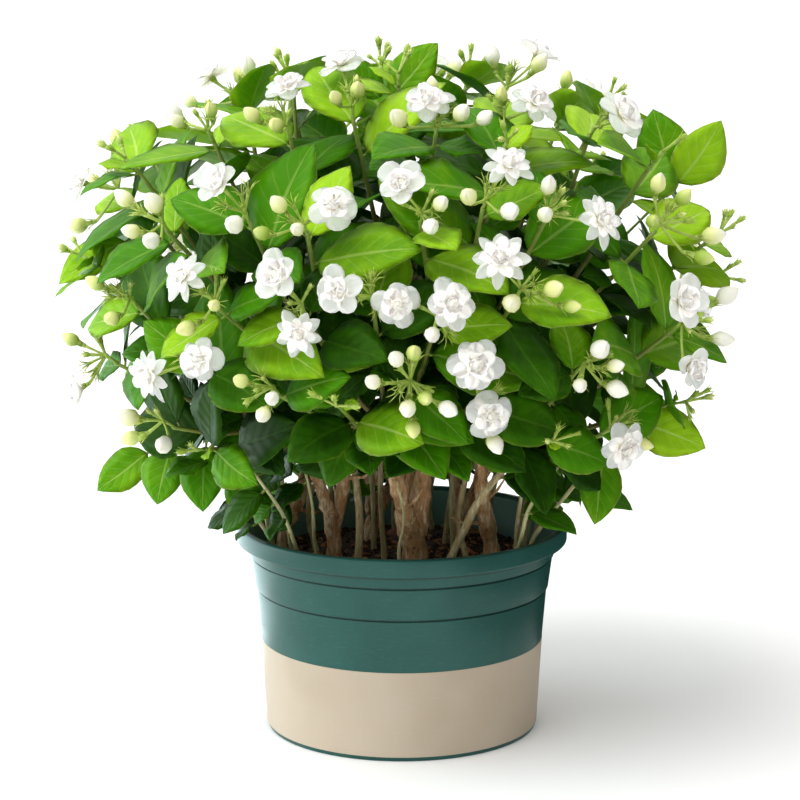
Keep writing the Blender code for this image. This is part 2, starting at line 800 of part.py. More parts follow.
def grow_bush():
    """Grows the whole bush by rule: trunks, flower heads, branches with their shoots, then the leaves."""
    rng = random.Random(SEED)
    crowd = Crowd()
    low_end = Vector((0, 0, POT_HEIGHT - LIP_DEPTH))
    high_end = Vector((0, 0, POT_HEIGHT + POT_GUARD))
    reach = LIP_RADIUS + POT_GUARD
    crowd.add(cone_between(low_end, high_end, reach, reach, POT_STEPS), "pot")
    trunks = []
    for foot, radius, carried in TRUNKS:
        stems = trunk_stems(foot, radius, carried)
        trunks.append(stems)
        for stem in stems:
            for guard in stem_guards(Stem(stem.points[2:], stem.radii[2:])):
                crowd.add(guard, "trunk")
    heads = []
    for blooms, buds in list(FRONT_HEADS) + list(back_head_aims(rng)):
        heads.append(grow_head(len(heads), blooms, buds, crowd, rng))
    branches = {}
    for name in BRANCHES:
        start = branch_start(name)
        lean = branch_lean(name)
        limb = Stem([start, start + lean * BRANCH_NECK], [LIMB_RADIUS, LIMB_RADIUS])
        towards = canopy_point(aim(*BRANCHES[name]), -BRANCH_AIM_DEPTH) - limb.points[-1]
        limb.points.append(limb.points[-1] + towards.normalized() * LIMB_LENGTH)
        limb.radii.append(SHOOT_RADIUS * LIMB_END)
        branches[name] = Branch(name, limb)
        for guard in stem_guards(limb):
            crowd.add(guard, name)
    tips = [(head.root, head.lean, head.name) for head in heads]
    for pair in leafy_tip_aims():
        direction = aim(*pair)
        lean = (direction * 0.7 + Vector((0, 0, 0.4))).normalized()
        tips.append((canopy_point(direction, -TIP_DEPTH), lean, "leafy tip"))
    grouped = {name: [] for name in BRANCHES}
    for tip, lean, own in tips:
        grouped[nearest_branch((tip - CANOPY_CENTRE).normalized())].append((tip, lean, own))
    for name, group in grouped.items():
        for order, (tip, lean, own) in enumerate(group):
            share = SHOOT_STARTS[0] + SHOOT_STARTS[1] * order / len(group)
            shoot = grow_shoot(branches[name], order, share, tip, lean, own, crowd, rng)
            if shoot:
                branches[name].shoots.append(shoot)
    for branch in branches.values():
        for order, shoot in enumerate(branch.shoots):
            grow_leaves(shoot, f"{branch.name}_{order}", crowd, rng)
    return trunks, heads, list(branches.values())


def clear_scene():
    """Removes what the scene holds."""
    for item in list(bpy.data.objects):
        bpy.data.objects.remove(item, do_unlink=True)


def new_collection(name):
    """A new collection in the scene."""
    group = bpy.data.collections.new(name)
    bpy.context.scene.collection.children.link(group)
    return group


def new_material(name, colour, roughness):
    """A Principled material of one colour and roughness."""
    material = bpy.data.materials.new(name)
    material.use_nodes = True
    shader = material.node_tree.nodes["Principled BSDF"]
    shader.inputs["Base Color"].default_value = (*colour, 1.0)
    shader.inputs["Roughness"].default_value = roughness
    shader.inputs["Metallic"].default_value = 0.0
    return material


def new_object(name, mesh, group, *materials):
    """An object in a collection from a mesh or a bmesh, with its materials."""
    if isinstance(mesh, bmesh.types.BMesh):
        data = bpy.data.meshes.new(name)
        mesh.to_mesh(data)
        mesh.free()
    else:
        data = mesh
    for material in materials:
        data.materials.append(material)
    item = bpy.data.objects.new(name, data)
    group.objects.link(item)
    return item


def bake(item):
    """Applies an object's modifiers to its mesh."""
    evaluated = item.evaluated_get(bpy.context.evaluated_depsgraph_get())
    baked = bpy.data.meshes.new_from_object(evaluated)
    item.modifiers.clear()
    item.data = baked


def is_closed(data):
    """True if every edge of a mesh joins two faces."""
    mesh = bmesh.new()
    mesh.from_mesh(data)
    closed = all(edge.is_manifold for edge in mesh.edges)
    mesh.free()
    return closed


def fuse(body, pieces):
    """Joins the pieces to a body with one Boolean union and removes them."""
    if not pieces.objects:
        return
    alone = body.data
    for solver in ("EXACT", "MANIFOLD"):
        body.data = alone
        union = body.modifiers.new("union", "BOOLEAN")
        union.operation = "UNION"
        union.operand_type = "COLLECTION"
        union.collection = pieces
        union.solver = solver
        union.material_mode = "TRANSFER"
        bake(body)
        if is_closed(body.data):
            break
    for piece in list(pieces.objects):
        bpy.data.objects.remove(piece, do_unlink=True)


def cut(body, cutters):
    """Cuts a body with each cutter in turn."""
    for cutter in cutters:
        cutter.hide_render = True
        cutter.display_type = "WIRE"
        hole = body.modifiers.new(cutter.name, "BOOLEAN")
        hole.operation = "DIFFERENCE"
        hole.object = cutter
    bake(body)


def keep_one_body(item):
    """Drops loose scraps and sealed hollows that a union left, and keeps the largest body."""
    mesh = bmesh.new()
    mesh.from_mesh(item.data)
    bmesh.ops.remove_doubles(mesh, verts=mesh.verts[:], dist=FINE_WELD)
    unseen = set(mesh.faces)
    bodies = []
    while unseen:
        edge_of_search = [unseen.pop()]
        body = []
        while edge_of_search:
            face = edge_of_search.pop()
            body.append(face)
            for edge in face.edges:
                for other in edge.link_faces:
                    if other in unseen:
                        unseen.remove(other)
                        edge_of_search.append(other)
        bodies.append(body)
    bodies.sort(key=len)
    for body in bodies[:-1]:
        bmesh.ops.delete(mesh, geom=body, context="FACES")
    bmesh.ops.triangulate(mesh, faces=mesh.faces[:])
    mesh.to_mesh(item.data)
    mesh.free()


def shade_round(item, angle=SMOOTH_ANGLE):
    """Shades an object smooth, apart from its sharp edges."""
    item.data.shade_smooth()
    item.data.set_sharp_from_angle(angle=math.radians(angle))


def tube(name, stem, group, resolution, material):
    """A tapering round stem: a curve with a bevel, made a mesh with its caps welded."""
    curve = bpy.data.curves.new(name, "CURVE")
    curve.dimensions = "3D"
    curve.bevel_depth = 1.0
    curve.bevel_resolution = resolution
    curve.use_fill_caps = True
    spline = curve.splines.new("POLY")
    spline.points.add(len(stem.points) - 1)
    for point, place, radius in zip(spline.points, stem.points, stem.radii):
        point.co = (*place, 1.0)
        point.radius = radius
    line = bpy.data.objects.new(name, curve)
    group.objects.link(line)
    evaluated = line.evaluated_get(bpy.context.evaluated_depsgraph_get())
    mesh = bmesh.new()
    mesh.from_mesh(bpy.data.meshes.new_from_object(evaluated))
    bmesh.ops.remove_doubles(mesh, verts=mesh.verts[:], dist=WELD)
    bmesh.ops.recalc_face_normals(mesh, faces=mesh.faces[:])
    place = line.matrix_world.copy()
    bpy.data.objects.remove(line, do_unlink=True)
    item = new_object(name, mesh, group, material)
    item.matrix_world = place
    return item


def turned(name, profile, group, *materials):
    """A turned shape: a profile of radii and heights with a Screw modifier, applied."""
    mesh = bpy.data.meshes.new(name)
    edges = [(index, index + 1) for index in range(len(profile) - 1)]
    mesh.from_pydata([(radius, 0, height) for radius, height in profile], edges, [])
    item = new_object(name, mesh, group, *materials)
    screw = item.modifiers.new("turn", "SCREW")
    screw.steps = POT_STEPS
    screw.render_steps = POT_STEPS
    screw.use_merge_vertices = True
    screw.merge_threshold = WELD
    bake(item)
    return item


def inner_wall(shift=0.0):
    """The pot's inner wall from its floor up to the lip, as radii and heights, moved inwards by a shift."""
    return [
        (FOOT_RADIUS - WALL - shift, POT_FLOOR + shift),
        (BAND_RADIUS - WALL - shift, BAND_TOP),
        (STEP_RADIUS - STEP_SIZE - WALL - shift, STEP_TOP - STEP_SIZE),
        (STEP_RADIUS - WALL - shift, STEP_TOP + STEP_SIZE),
        (COLLAR_RADIUS - STEP_SIZE - WALL - shift, COLLAR_TOP - STEP_SIZE),
    ]


def build_pot(group, cutters):
    """The pot: a turned shell with a rolled lip, two steps, a foot ring and drain holes."""
    green = new_material("pot green plastic", (0.048, 0.135, 0.112), 0.38)
    cream = new_material("pot cream band", (0.55, 0.47, 0.35), 0.55)
    lip_inner = LIP_RADIUS - LIP_WIDTH
    lip_bottom = POT_HEIGHT - LIP_DEPTH
    profile = [(0, POT_FLOOR)]
    profile += inner_wall()
    profile += [
        (lip_inner - MM, POT_HEIGHT - 1.5 * MM),
        (lip_inner + MM, POT_HEIGHT),
        (LIP_RADIUS - 1.6 * MM, POT_HEIGHT),
        (LIP_RADIUS, POT_HEIGHT - 2.2 * MM),
        (LIP_RADIUS, lip_bottom + MM),
        (COLLAR_RADIUS + 1.4 * MM, COLLAR_TOP + 2.4 * MM),
        (COLLAR_RADIUS, COLLAR_TOP),
        (COLLAR_RADIUS - STEP_SIZE, COLLAR_TOP - STEP_SIZE),
        (STEP_RADIUS, STEP_TOP),
        (STEP_RADIUS - STEP_SIZE, STEP_TOP - STEP_SIZE),
        (BAND_RADIUS, BAND_TOP),
        (FOOT_RADIUS, BAND_BOTTOM),
        (FOOT_RADIUS - 0.9 * MM, 0),
        (FOOT_RADIUS - FOOT_WIDTH, 0),
        (FOOT_RADIUS - FOOT_WIDTH - FOOT_RECESS, FOOT_RECESS),
        (PAD_RADIUS + FOOT_RECESS, FOOT_RECESS),
        (PAD_RADIUS, 0),
        (0, 0),
    ]
    pot = turned("pot", profile, group, green, cream)
    for face in pot.data.polygons:
        outside = face.normal.x * face.center.x + face.normal.y * face.center.y > 0
        face.material_index = int(outside and BAND_BOTTOM < face.center.z < BAND_TOP)
    holes = []
    for index in range(DRAIN_HOLES):
        turn = math.tau * (index / DRAIN_HOLES + 0.5 / POT_STEPS)
        spot = Vector((DRAIN_CIRCLE * math.cos(turn), DRAIN_CIRCLE * math.sin(turn), 0))
        drill = cone_between(spot, spot + Vector((0, 0, 2 * POT_FLOOR)), DRAIN_RADIUS, DRAIN_RADIUS, 8)
        holes.append(new_object(f"drain_cutter_{index + 1}", drill, cutters))
    cut(pot, holes)
    keep_one_body(pot)
    shade_round(pot)
    return pot


def build_soil(group, cutters, trunks):
    """The soil: it fills the pot to its uneven top, with a plain hole for each trunk."""
    brown = new_material("potting soil", (0.055, 0.028, 0.016), 0.95)
    wall = inner_wall(GAP)
    low, high = wall[-2], wall[-1]
    share = (SOIL_TOP - low[1]) / (high[1] - low[1])
    rim = low[0] + (high[0] - low[0]) * share
    profile = [(0, SOIL_TOP + SOIL_SWELL), (0.4 * rim, SOIL_TOP + SOIL_SWELL), (0.75 * rim, SOIL_TOP)]
    profile += [(rim, SOIL_TOP)] + wall[2::-1] + [(0, POT_FLOOR + GAP)]
    soil = turned("soil", profile, group, brown)
    for vert in soil.data.vertices:
        radius = math.hypot(vert.co.x, vert.co.y)
        if vert.co.z > SOIL_TOP - MM and radius < 0.9 * rim:
            vert.co.z += SOIL_WAVE * math.sin(vert.co.x * SOIL_RIPPLE) * math.cos(vert.co.y * SOIL_RIPPLE)
    drills = []
    for index, stems in enumerate(trunks):
        foot = stems[0].points[0]
        radius = (stems[0].radii[0] + GAP) / math.cos(math.pi / 8)
        low_end = foot - Vector((0, 0, GAP))
        drill = cone_between(low_end, low_end + Vector((0, 0, 2 * TRUNK_DEPTH)), radius, radius, 8)
        drills.append(new_object(f"trunk_cutter_{index + 1}", drill, cutters))
    cut(soil, drills)
    keep_one_body(soil)
    shade_round(soil)
    return soil


def build_trunks(group, trunks):
    """The woody trunks, each fused from its forks."""
    bark = new_material("brown bark", (0.19, 0.085, 0.035), 0.85)
    for index, stems in enumerate(trunks):
        forks = new_collection(f"trunk_{index + 1}_forks")
        trunk = tube(f"trunk_{index + 1}", stems[0], group, 1, bark)
        for order, stem in enumerate(stems[1:]):
            tube(f"fork_{order}", stem, forks, 1, bark)
        fuse(trunk, forks)
        bpy.data.collections.remove(forks)
        keep_one_body(trunk)
        shade_round(trunk, BARK_SMOOTH_ANGLE)


def build_branches(group, branches):
    """The leafy branches, each fused from its limb, its shoots and their leaves."""
    green = new_material("leaf green", (0.085, 0.23, 0.022), 0.42)
    shoot_green = new_material("shoot green", (0.16, 0.24, 0.06), 0.6)
    for branch in branches:
        repeats = new_collection(f"{branch.name}_repeats")
        limb = tube(f"branch_{branch.name}", branch.limb, group, 0, shoot_green)
        for shoot in branch.shoots:
            tube("shoot", shoot.stem, repeats, 0, shoot_green)
            for leaf in shoot.leaves:
                new_object("leaf", leaf_body(leaf), repeats, green)
        fuse(limb, repeats)
        bpy.data.collections.remove(repeats)
        keep_one_body(limb)


def peduncle_body(head):
    """A head's stalk, swollen to a small knob where the flower stalks leave it."""
    base = head.root + head.lean * GAP
    return closed_loft([
        ring_points(facing_frame(base, head.lean), 4, (PEDUNCLE_RADIUS,), (0,)),
        ring_points(facing_frame(head.hub, head.lean), 4, (KNOB_RADIUS,), (0,)),
        [head.hub + head.lean * KNOB_RADIUS],
    ])


def build_heads(group, heads):
    """The flower heads, each fused from its stalks, blooms and buds."""
    white = new_material("petal white", (0.86, 0.83, 0.77), 0.5)
    stalk = new_material("stalk green", (0.28, 0.36, 0.1), 0.6)
    for head in heads:
        repeats = new_collection(f"{head.name}_repeats")
        peduncle = new_object(head.name, peduncle_body(head), group, stalk)
        for bloom in head.blooms:
            new_object("bloom", bloom_body(bloom, head.hub), repeats, white)
        for bud in head.buds:
            new_object("bud", bud_body(bud, head.hub), repeats, white)
        fuse(peduncle, repeats)
        bpy.data.collections.remove(repeats)
        keep_one_body(peduncle)


def main():
    """Builds the pot, the soil and the bush."""
    clear_scene()
    group = new_collection("potted_jasmine")
    cutters = new_collection("cutters")
    trunks, heads, branches = grow_bush()
    build_pot(group, cutters)
    build_soil(group, cutters, trunks)
    build_trunks(group, trunks)
    build_branches(group, branches)
    build_heads(group, heads)


main()
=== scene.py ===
"""Looks of a potted jasmine: a double-flowered bush in a plastic nursery pot.

The bush grows here by the same rule and the same seeded draws as its solids, so that each fine leaf,
flower, bud and stem lies where its solid is. Metres, +Z up. The front faces -Y. Azimuths run from the front
towards +X and elevations above the horizon, both in degrees and seen from the middle of the bush.
"""
import logging
import math
import random
from collections.abc import Iterator, Sequence
from dataclasses import dataclass, field
from enum import Enum
from functools import cache

import bmesh
import bpy
import numpy as np
from mathutils import Matrix, Vector, noise
from mathutils.bvhtree import BVHTree


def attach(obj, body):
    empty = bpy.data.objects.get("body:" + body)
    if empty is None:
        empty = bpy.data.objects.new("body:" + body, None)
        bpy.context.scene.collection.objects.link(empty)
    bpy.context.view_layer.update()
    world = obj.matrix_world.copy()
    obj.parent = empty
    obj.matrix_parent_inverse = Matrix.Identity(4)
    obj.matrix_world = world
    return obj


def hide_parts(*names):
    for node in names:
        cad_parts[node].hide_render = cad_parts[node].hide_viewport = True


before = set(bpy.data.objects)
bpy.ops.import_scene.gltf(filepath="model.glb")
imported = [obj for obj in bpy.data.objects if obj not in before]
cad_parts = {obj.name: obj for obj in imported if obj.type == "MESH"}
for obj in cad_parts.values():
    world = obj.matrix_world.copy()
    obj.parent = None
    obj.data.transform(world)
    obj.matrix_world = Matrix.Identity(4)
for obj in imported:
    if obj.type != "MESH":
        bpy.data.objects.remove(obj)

LOG = logging.getLogger("potted_jasmine")

# The rule of growth: sizes, aims and seeds
MM = 0.001
GAP = 0.3 * MM
SEED = 20
POT_HEIGHT = 145 * MM
LIP_RADIUS = 115.3 * MM
LIP_DEPTH = 12 * MM
POT_GUARD = 4 * MM
POT_STEPS = 28
SOIL_TOP = 117 * MM
TRUNK_DEPTH = 30 * MM
CANOPY_CENTRE = Vector((0, 0, 315)) * MM
CANOPY_SIZE = Vector((232, 215, 158)) * MM
CANOPY_POWER = 2.4
CANOPY_REACH = 1.035
SKIRT_MIDDLE = 205 * MM
SKIRT_RISE = 38 * MM
SKIRT_RADIUS = 130 * MM
PARTING_MIDDLE = 10 * MM  # the foliage parts over the trunks at the front
PARTING_WIDTH = 80 * MM
PARTING_RISE = 50 * MM
TRUNKS = (
    ((-47, -16), 5.6, ("left_low", "left_high")),
    ((9, -36), 8.2, ("front_low", "front_high", "crown_front")),
    ((62, -20), 5.6, ("right_low", "right_high")),
    ((40, 32), 5.0, ("back_right_low", "back_right_high")),
    ((-22, 40), 5.4, ("back_low", "back_high", "crown_back")),
    ((-84, 6), 3.6, ("back_left_low", "back_left_high")),
)
BRANCHES = {
    "left_low": (-58, -8),
    "left_high": (-40, 24),
    "front_low": (-5, -8),
    "front_high": (22, 22),
    "crown_front": (0, 58),
    "right_low": (46, -8),
    "right_high": (66, 26),
    "back_right_low": (108, -4),
    "back_right_high": (140, 28),
    "back_low": (172, -6),
    "back_high": (208, 28),
    "crown_back": (180, 60),
    "back_left_low": (232, -6),
    "back_left_high": (268, 26),
}
LOW_START = (80 * MM, 203 * MM)
HIGH_START = (60 * MM, 236 * MM)
CROWN_START = (18 * MM, 262 * MM)
BRANCH_UPTURN = 0.9
BRANCH_NECK = 6 * MM
BRANCH_AIM_DEPTH = 60 * MM
FORK_HEIGHT = 14 * MM
FORK_STEP = 9 * MM
FORK_BEND = 10 * MM
FORK_SHARE = 0.45
FORK_THINNING = 0.8
TRUNK_END = 1.15
LIMB_LENGTH = 34 * MM
LIMB_RADIUS = 2.3 * MM
LIMB_END = 1.3
SHOOT_RADIUS = 1.4 * MM
SHOOT_TAPER = 1.25
SHOOT_NECK = 4 * MM
SHOOT_SAG = (0.12, 0.1)
SHOOT_SWAY = 1.2 * MM
SHOOT_TRIES = 40
SHOOT_STARTS = (0.02, 0.6)
STEM_SPARE = 1 * MM
SHOOT_SPARE = 0.4 * MM
FRONT_HEADS = (
    (((-74, -16),), ((-76, -8),)),
    ((), ((-54, -18), (-61, -24), (-48, -23))),
    ((), ((-57, 4), (-52, -1))),
    ((), ((-54, 18), (-49, 13), (-46, 18), (-44, 12))),
    (((-36, 7),), ((-31, 3), (-36, -1))),
    (((-33, 22),), ((-29, 16),)),
    (((-43, -9), (-34, -6)), ()),
    ((), ((-27, -9), (-22, -12), (-24, -15))),
    ((), ((-64, 36), (-57, 34), (-50, 38))),
    (((-34, 47),), ((-37, 38), (-29, 36))),
    (((-12, 20),), ((-22, 20), (-18, 16), (-24, 15))),
    (((-20, 8), (-17, -1)), ()),
    (((-10, 6), (-1, 4)), ()),
    (((-29, 62),), ((-19, 46), (-14, 50))),
    (((7, 44),), ((-1, 40), (15, 41), (20, 39), (10, 52))),
    (((0, 24),), ((7, 21), (5, 17))),
    ((), ((-1, -5), (2, -4), (-5, -9), (1, -14), (4, -12), (2, -18), (8, -14))),
    (((8, 4),), ((5, -1),)),
    (((12, -6), (15, -15)), ((17, -21),)),
    (((20, 27),), ((19, 19), (12, 22))),
    (((16, 11),), ((18, 4), (25, 6), (28, 3))),
    (((34, 41),), ((29, 46),)),
    (((55, 35),), ((62, 39),)),
    (((34, 16),), ((27, 23), (25, 18))),
    ((), ((55, 18), (45, 15), (50, 21), (61, 11), (56, 8))),
    (((48, 2), (53, -9)), ((64, -6), (65, 1))),
    ((), ((33, -4), (36, -7), (37, -11), (30, -10))),
    (((42, -22),), ((49, -23),)),
)
BACK_HEADS = 10
BACK_PAIRS = (2, 6)
BACK_HEAD_START = 92
BACK_HEAD_SWEEP = 182
BACK_HEAD_LOW = -16
BACK_HEAD_HIGH = 58
BACK_PAIR_STEP = 10.5
BACK_PAIR_DROP = (1, 4)
BACK_HEAD_PHASE = 0.5
BACK_BUDS = (((-6, -8), (-3, 4)), ((-3, 3), (8, 10)), ((-2, -6), (-8, -10)))  # aside and up
FRONT_TIPS = (
    (-3, 72),
    (64, 26),
    (-70, 24),
    (-84, 4),
    (30, -24),
    (-46, -28),
    (66, -20),
    (-12, -16),
    (24, 33),
    (84, 8),
)
BACK_TIPS = 13
BACK_TIP_LOW = -24
BACK_TIP_HIGH = 68
BACK_TIP_PHASE = 0.15
TIP_LEAN = (0.7, 0.4)  # outwards and up
TIP_DEPTH = 22 * MM
GOLDEN = 0.618034
HUB_DEPTH = 24 * MM
HEAD_LEAN = (0.6, 0.55)  # outwards and up
BLOOM_LEAN = (0.2, 0.3)  # up and away from the hub
BUD_LEAN = (0.5, 0.35)  # outwards and up
TOUCH_COST = 5
PEDUNCLE = 9 * MM
BLOOM_RADIUS = (15.5 * MM, 18 * MM)
BLOOM_NECK = 5 * MM
BLOOM_SINK = 2
BLOOM_STEP = 4
BLOOM_SHRINK = 0.1
BUD_LENGTH = (13 * MM, 18 * MM)
BUD_SEAT = 0.46
BUD_GIRTH = 0.37
BUD_SINK = 4
STALK_GUARD = (1.8 * MM, 2.8 * MM)
PEDICEL_GUARD = 1.6 * MM
NECK_GUARD = (2.4 * MM, 1.8 * MM)
BLOOM_GUARD = (3.5 * MM, 7 * MM)
BLOOM_GUARD_TAPER = (1.02, 0.7)
BLOOM_SIGHT = 34 * MM
BUD_SIGHT = 26 * MM
BUD_SIGHT_RADIUS = 4 * MM
BUD_GUARD_GIRTH = 1.18
BUD_GUARD_LIFT = 0.5 * MM
HEAD_OPTIONS = (
    (0, 1.0, 1.0),
    (2, 1.0, 1.08),
    (-3, 1.0, 1.12),
    (5, 0.96, 1.12),
    (0, 0.94, 1.2),
    (-5, 0.92, 1.2),
    (8, 0.92, 1.2),
    (0, 0.86, 1.28),
    (5, 0.84, 1.28),
    (-4, 0.8, 1.28),
)
BLADE = 0.6 * MM
LEAF_SIDES = 6
PETIOLE = 5 * MM
PETIOLE_RADIUS = 0.9 * MM
LEAF_CLEAR = 1.3 * MM
LEAF_LENGTHS = ((54 * MM, 70 * MM), (66 * MM, 86 * MM))
LEAF_SLIMNESS = (0.56, 0.68)
LEAF_FOLD = (9, 20)
LEAF_ARCH = (0.04, 0.18)
LEAF_RISE = (0.1, 0.55)
LEAF_TWIST = 0.12
LEAF_UP = (0.75, 0.65, 0.25)  # outwards, up and along the stem
LEAF_WIDEST = 0.85
LEAF_FULLNESS = 0.75
LEAF_SHRINK = 0.03
LEAF_TRIES = 12
FIRST_NODE = 6 * MM
NODE_SPACING = 25 * MM
NODE_VARIETY = (0.9, 1.1)
PAIR_STEP = 1.2 * MM
NODES_ON_SHOOT = 2


class Slot(Enum):
    """The record's material slots."""

    POT = "pot_plastic"
    SOIL = "potting_soil"
    BARK = "bark"
    FOLIAGE = "foliage"
    PETALS = "petals"


@dataclass
class Stem:
    """A tapering stem through its points."""

    points: list[Vector]
    radii: list[float]


@dataclass
class Leaf:
    """One leaf: where it leaves the stem, its midrib's direction, its upper side and its shape."""

    base: Vector
    along: Vector
    up: Vector
    length: float
    width: float
    fold: float
    arch: float


@dataclass
class Bloom:
    """One double flower, open or half open."""

    centre: Vector
    facing: Vector
    radius: float
    turn: float


@dataclass
class Bud:
    """One closed flower bud."""

    centre: Vector
    facing: Vector
    length: float


@dataclass
class Head:
    """A cluster of blooms and buds on one stalk."""

    name: str
    root: Vector
    lean: Vector
    hub: Vector
    blooms: list[Bloom] = field(default_factory=list)
    buds: list[Bud] = field(default_factory=list)


@dataclass
class Shoot:
    """One green stem from a branch's limb to its tip, and the leaves on it."""

    stem: Stem
    leaves: list[Leaf] = field(default_factory=list)


@dataclass
class Branch:
    """A leafy branch: its limb and the shoots that fork from it."""

    name: str
    limb: Stem
    shoots: list[Shoot] = field(default_factory=list)


class Crowd:
    """What has been placed so far, so that each new piece is bent clear of it."""

    def __init__(self) -> None:
        """Starts empty."""
        self.placed: list[tuple[BVHTree, Vector, float, str, bool]] = []

    def add(self, mesh: bmesh.types.BMesh, owner: str, sight: bool = False) -> None:
        """Keeps a shape under its owner's name.

        Args:
            mesh: The shape, which is freed.
            owner: The name of the piece that it belongs to.
            sight: Whether it is a line of sight, which only keeps leaves away.
        """
        points = [vert.co for vert in mesh.verts]
        middle = sum(points, Vector()) / len(points)
        reach = max((point - middle).length for point in points)
        self.placed.append((BVHTree.FromBMesh(mesh), middle, reach, owner, sight))
        mesh.free()

    def touches(self, mesh: bmesh.types.BMesh, skip: tuple[str, ...] = (), heed_sight: bool = False) -> bool:
        """Tells whether a shape meets anything placed.

        Args:
            mesh: The shape, which is freed.
            skip: Starts of the owners' names that don't count.
            heed_sight: Whether lines of sight count.

        Returns:
            True if it meets something.
        """
        points = [vert.co for vert in mesh.verts]
        middle = sum(points, Vector()) / len(points)
        reach = max((point - middle).length for point in points)
        tree = BVHTree.FromBMesh(mesh)
        mesh.free()
        for other, centre, span, owner, sight in self.placed:
            if owner.startswith(skip) or (sight and not heed_sight):
                continue
            if (centre - middle).length < reach + span and tree.overlap(other):
                return True
        return False


def aim(azimuth: float, elevation: float) -> Vector:
    """Unit vector of an azimuth and an elevation.

    Args:
        azimuth: Degrees from the front towards +X.
        elevation: Degrees above the horizon.

    Returns:
        The direction, of length 1.
    """
    turn = math.radians(azimuth)
    rise = math.radians(elevation)
    return Vector((math.sin(turn) * math.cos(rise), -math.cos(turn) * math.cos(rise), math.sin(rise)))


def canopy_depth(point: Vector) -> float:
    """1 on the canopy's surface, less inside it and more outside.

    Args:
        point: Any place, in metres.

    Returns:
        The share of the way out.
    """
    offset = point - CANOPY_CENTRE
    total = sum(abs(part / size) ** CANOPY_POWER for part, size in zip(offset, CANOPY_SIZE))
    return total ** (1 / CANOPY_POWER)


def canopy_point(direction: Vector, lift: float = 0.0) -> Vector:
    """Point of the canopy's surface in a direction from its middle, lifted outwards by some metres."""
    reach = 1 / canopy_depth(CANOPY_CENTRE + direction)
    return CANOPY_CENTRE + direction * (reach + lift)


def skirt_height(point: Vector) -> float:
    """Lowest height that leaves reach over a point of the plan: higher over the trunks and their front.

    Args:
        point: Any place, in metres.

    Returns:
        The height, in metres.
    """
    spread = min(1.0, math.hypot(point.x, point.y) / SKIRT_RADIUS)
    ahead = min(1.0, max(0.0, -point.y / SKIRT_RADIUS))
    parting = ahead * math.exp(-((point.x - PARTING_MIDDLE) / PARTING_WIDTH) ** 2)
    return SKIRT_MIDDLE - SKIRT_RISE * spread ** 2 + PARTING_RISE * parting


def frame_to(origin: Vector, forward: Vector, up_hint: Vector) -> Matrix:
    """Matrix that puts local +Y along forward and local +Z near up_hint, at origin.

    Args:
        origin: Where the frame lies.
        forward: The way of its Y axis.
        up_hint: The side that its Z axis leans to.

    Returns:
        The frame.
    """
    y_axis = forward.normalized()
    x_axis = y_axis.cross(up_hint).normalized()
    z_axis = x_axis.cross(y_axis)
    return Matrix.Translation(origin) @ Matrix((x_axis, y_axis, z_axis)).transposed().to_4x4()


def facing_frame(origin: Vector, facing: Vector) -> Matrix:
    """Matrix that puts local +Z along facing, at origin."""
    return Matrix.Translation(origin) @ facing.to_track_quat("Z", "X").to_matrix().to_4x4()


def arc_points(start: Vector, bend: Vector, end: Vector, steps: int) -> list[Vector]:
    """Points of a quadratic curve from start to end, pulled towards bend.

    Args:
        start: First point.
        bend: The point that pulls the curve.
        end: Last point.
        steps: How many straight steps.

    Returns:
        The points, one more than the steps.
    """
    points = []
    for index in range(steps + 1):
        share = index / steps
        first = start.lerp(bend, share)
        second = bend.lerp(end, share)
        points.append(first.lerp(second, share))
    return points


def cone_between(
    start: Vector,
    end: Vector,
    start_radius: float,
    end_radius: float,
    sides: int,
) -> bmesh.types.BMesh:
    """A closed tapering bar between two points, as a bmesh.

    Args:
        start: Middle of the first end.
        end: Middle of the other end.
        start_radius: Radius at the first end.
        end_radius: Radius at the other end.
        sides: How many sides.

    Returns:
        The bar, which the caller frees.
    """
    mesh = bmesh.new()
    middle = (start + end) / 2
    bmesh.ops.create_cone(
        mesh,
        cap_ends=True,
        cap_tris=False,
        segments=sides,
        radius1=start_radius,
        radius2=end_radius,
        depth=(end - start).length,
        matrix=facing_frame(middle, (end - start).normalized()),
    )
    return mesh


def bridge(mesh: bmesh.types.BMesh, low: list[bmesh.types.BMVert], high: list[bmesh.types.BMVert]) -> None:
    """Joins two rings of points, with quads where they match. One point is a tip.

    Args:
        mesh: The mesh that gets the faces.
        low: The first ring.
        high: The second ring.
    """
    if len(low) == len(high):
        for index in range(len(low)):
            after = (index + 1) % len(low)
            mesh.faces.new((low[index], low[after], high[after], high[index]))
        return
    low_steps = len(low) if len(low) > 1 else 0
    high_steps = len(high) if len(high) > 1 else 0
    here = there = 0
    while here < low_steps or there < high_steps:
        low_next = (here + 1) / low_steps if here < low_steps else 2
        high_next = (there + 1) / high_steps if there < high_steps else 2
        first = low[here % len(low)]
        second = high[there % len(high)]
        if low_next <= high_next:
            mesh.faces.new((first, low[(here + 1) % len(low)], second))
            here += 1
        else:
            mesh.faces.new((first, high[(there + 1) % len(high)], second))
            there += 1


def leaf_point(
    leaf: Leaf,
    place: Matrix,
    share: float,
    side: float,
    drop: float = 0.0,
    grow: float = 0.0,
) -> Vector:
    """A point of a leaf's blade, a share of the way to its tip, on its left (-1) or right (1) edge.

    Args:
        leaf: The leaf.
        place: Its frame.
        share: From 0 at its stalk to 1 at its tip.
        side: From -1 at its left edge to 1 at its right.
        drop: Metres below its surface.
        grow: Metres that widen it.

    Returns:
        The place, in metres.
    """
    half = 0.5 * leaf.width * math.sin(math.pi * share ** LEAF_WIDEST) ** LEAF_FULLNESS + grow
    across = side * half
    height = abs(across) * math.tan(leaf.fold) - leaf.arch * leaf.length * share ** 2 - drop
    return place @ Vector((across, PETIOLE + share * (leaf.length - PETIOLE), height))


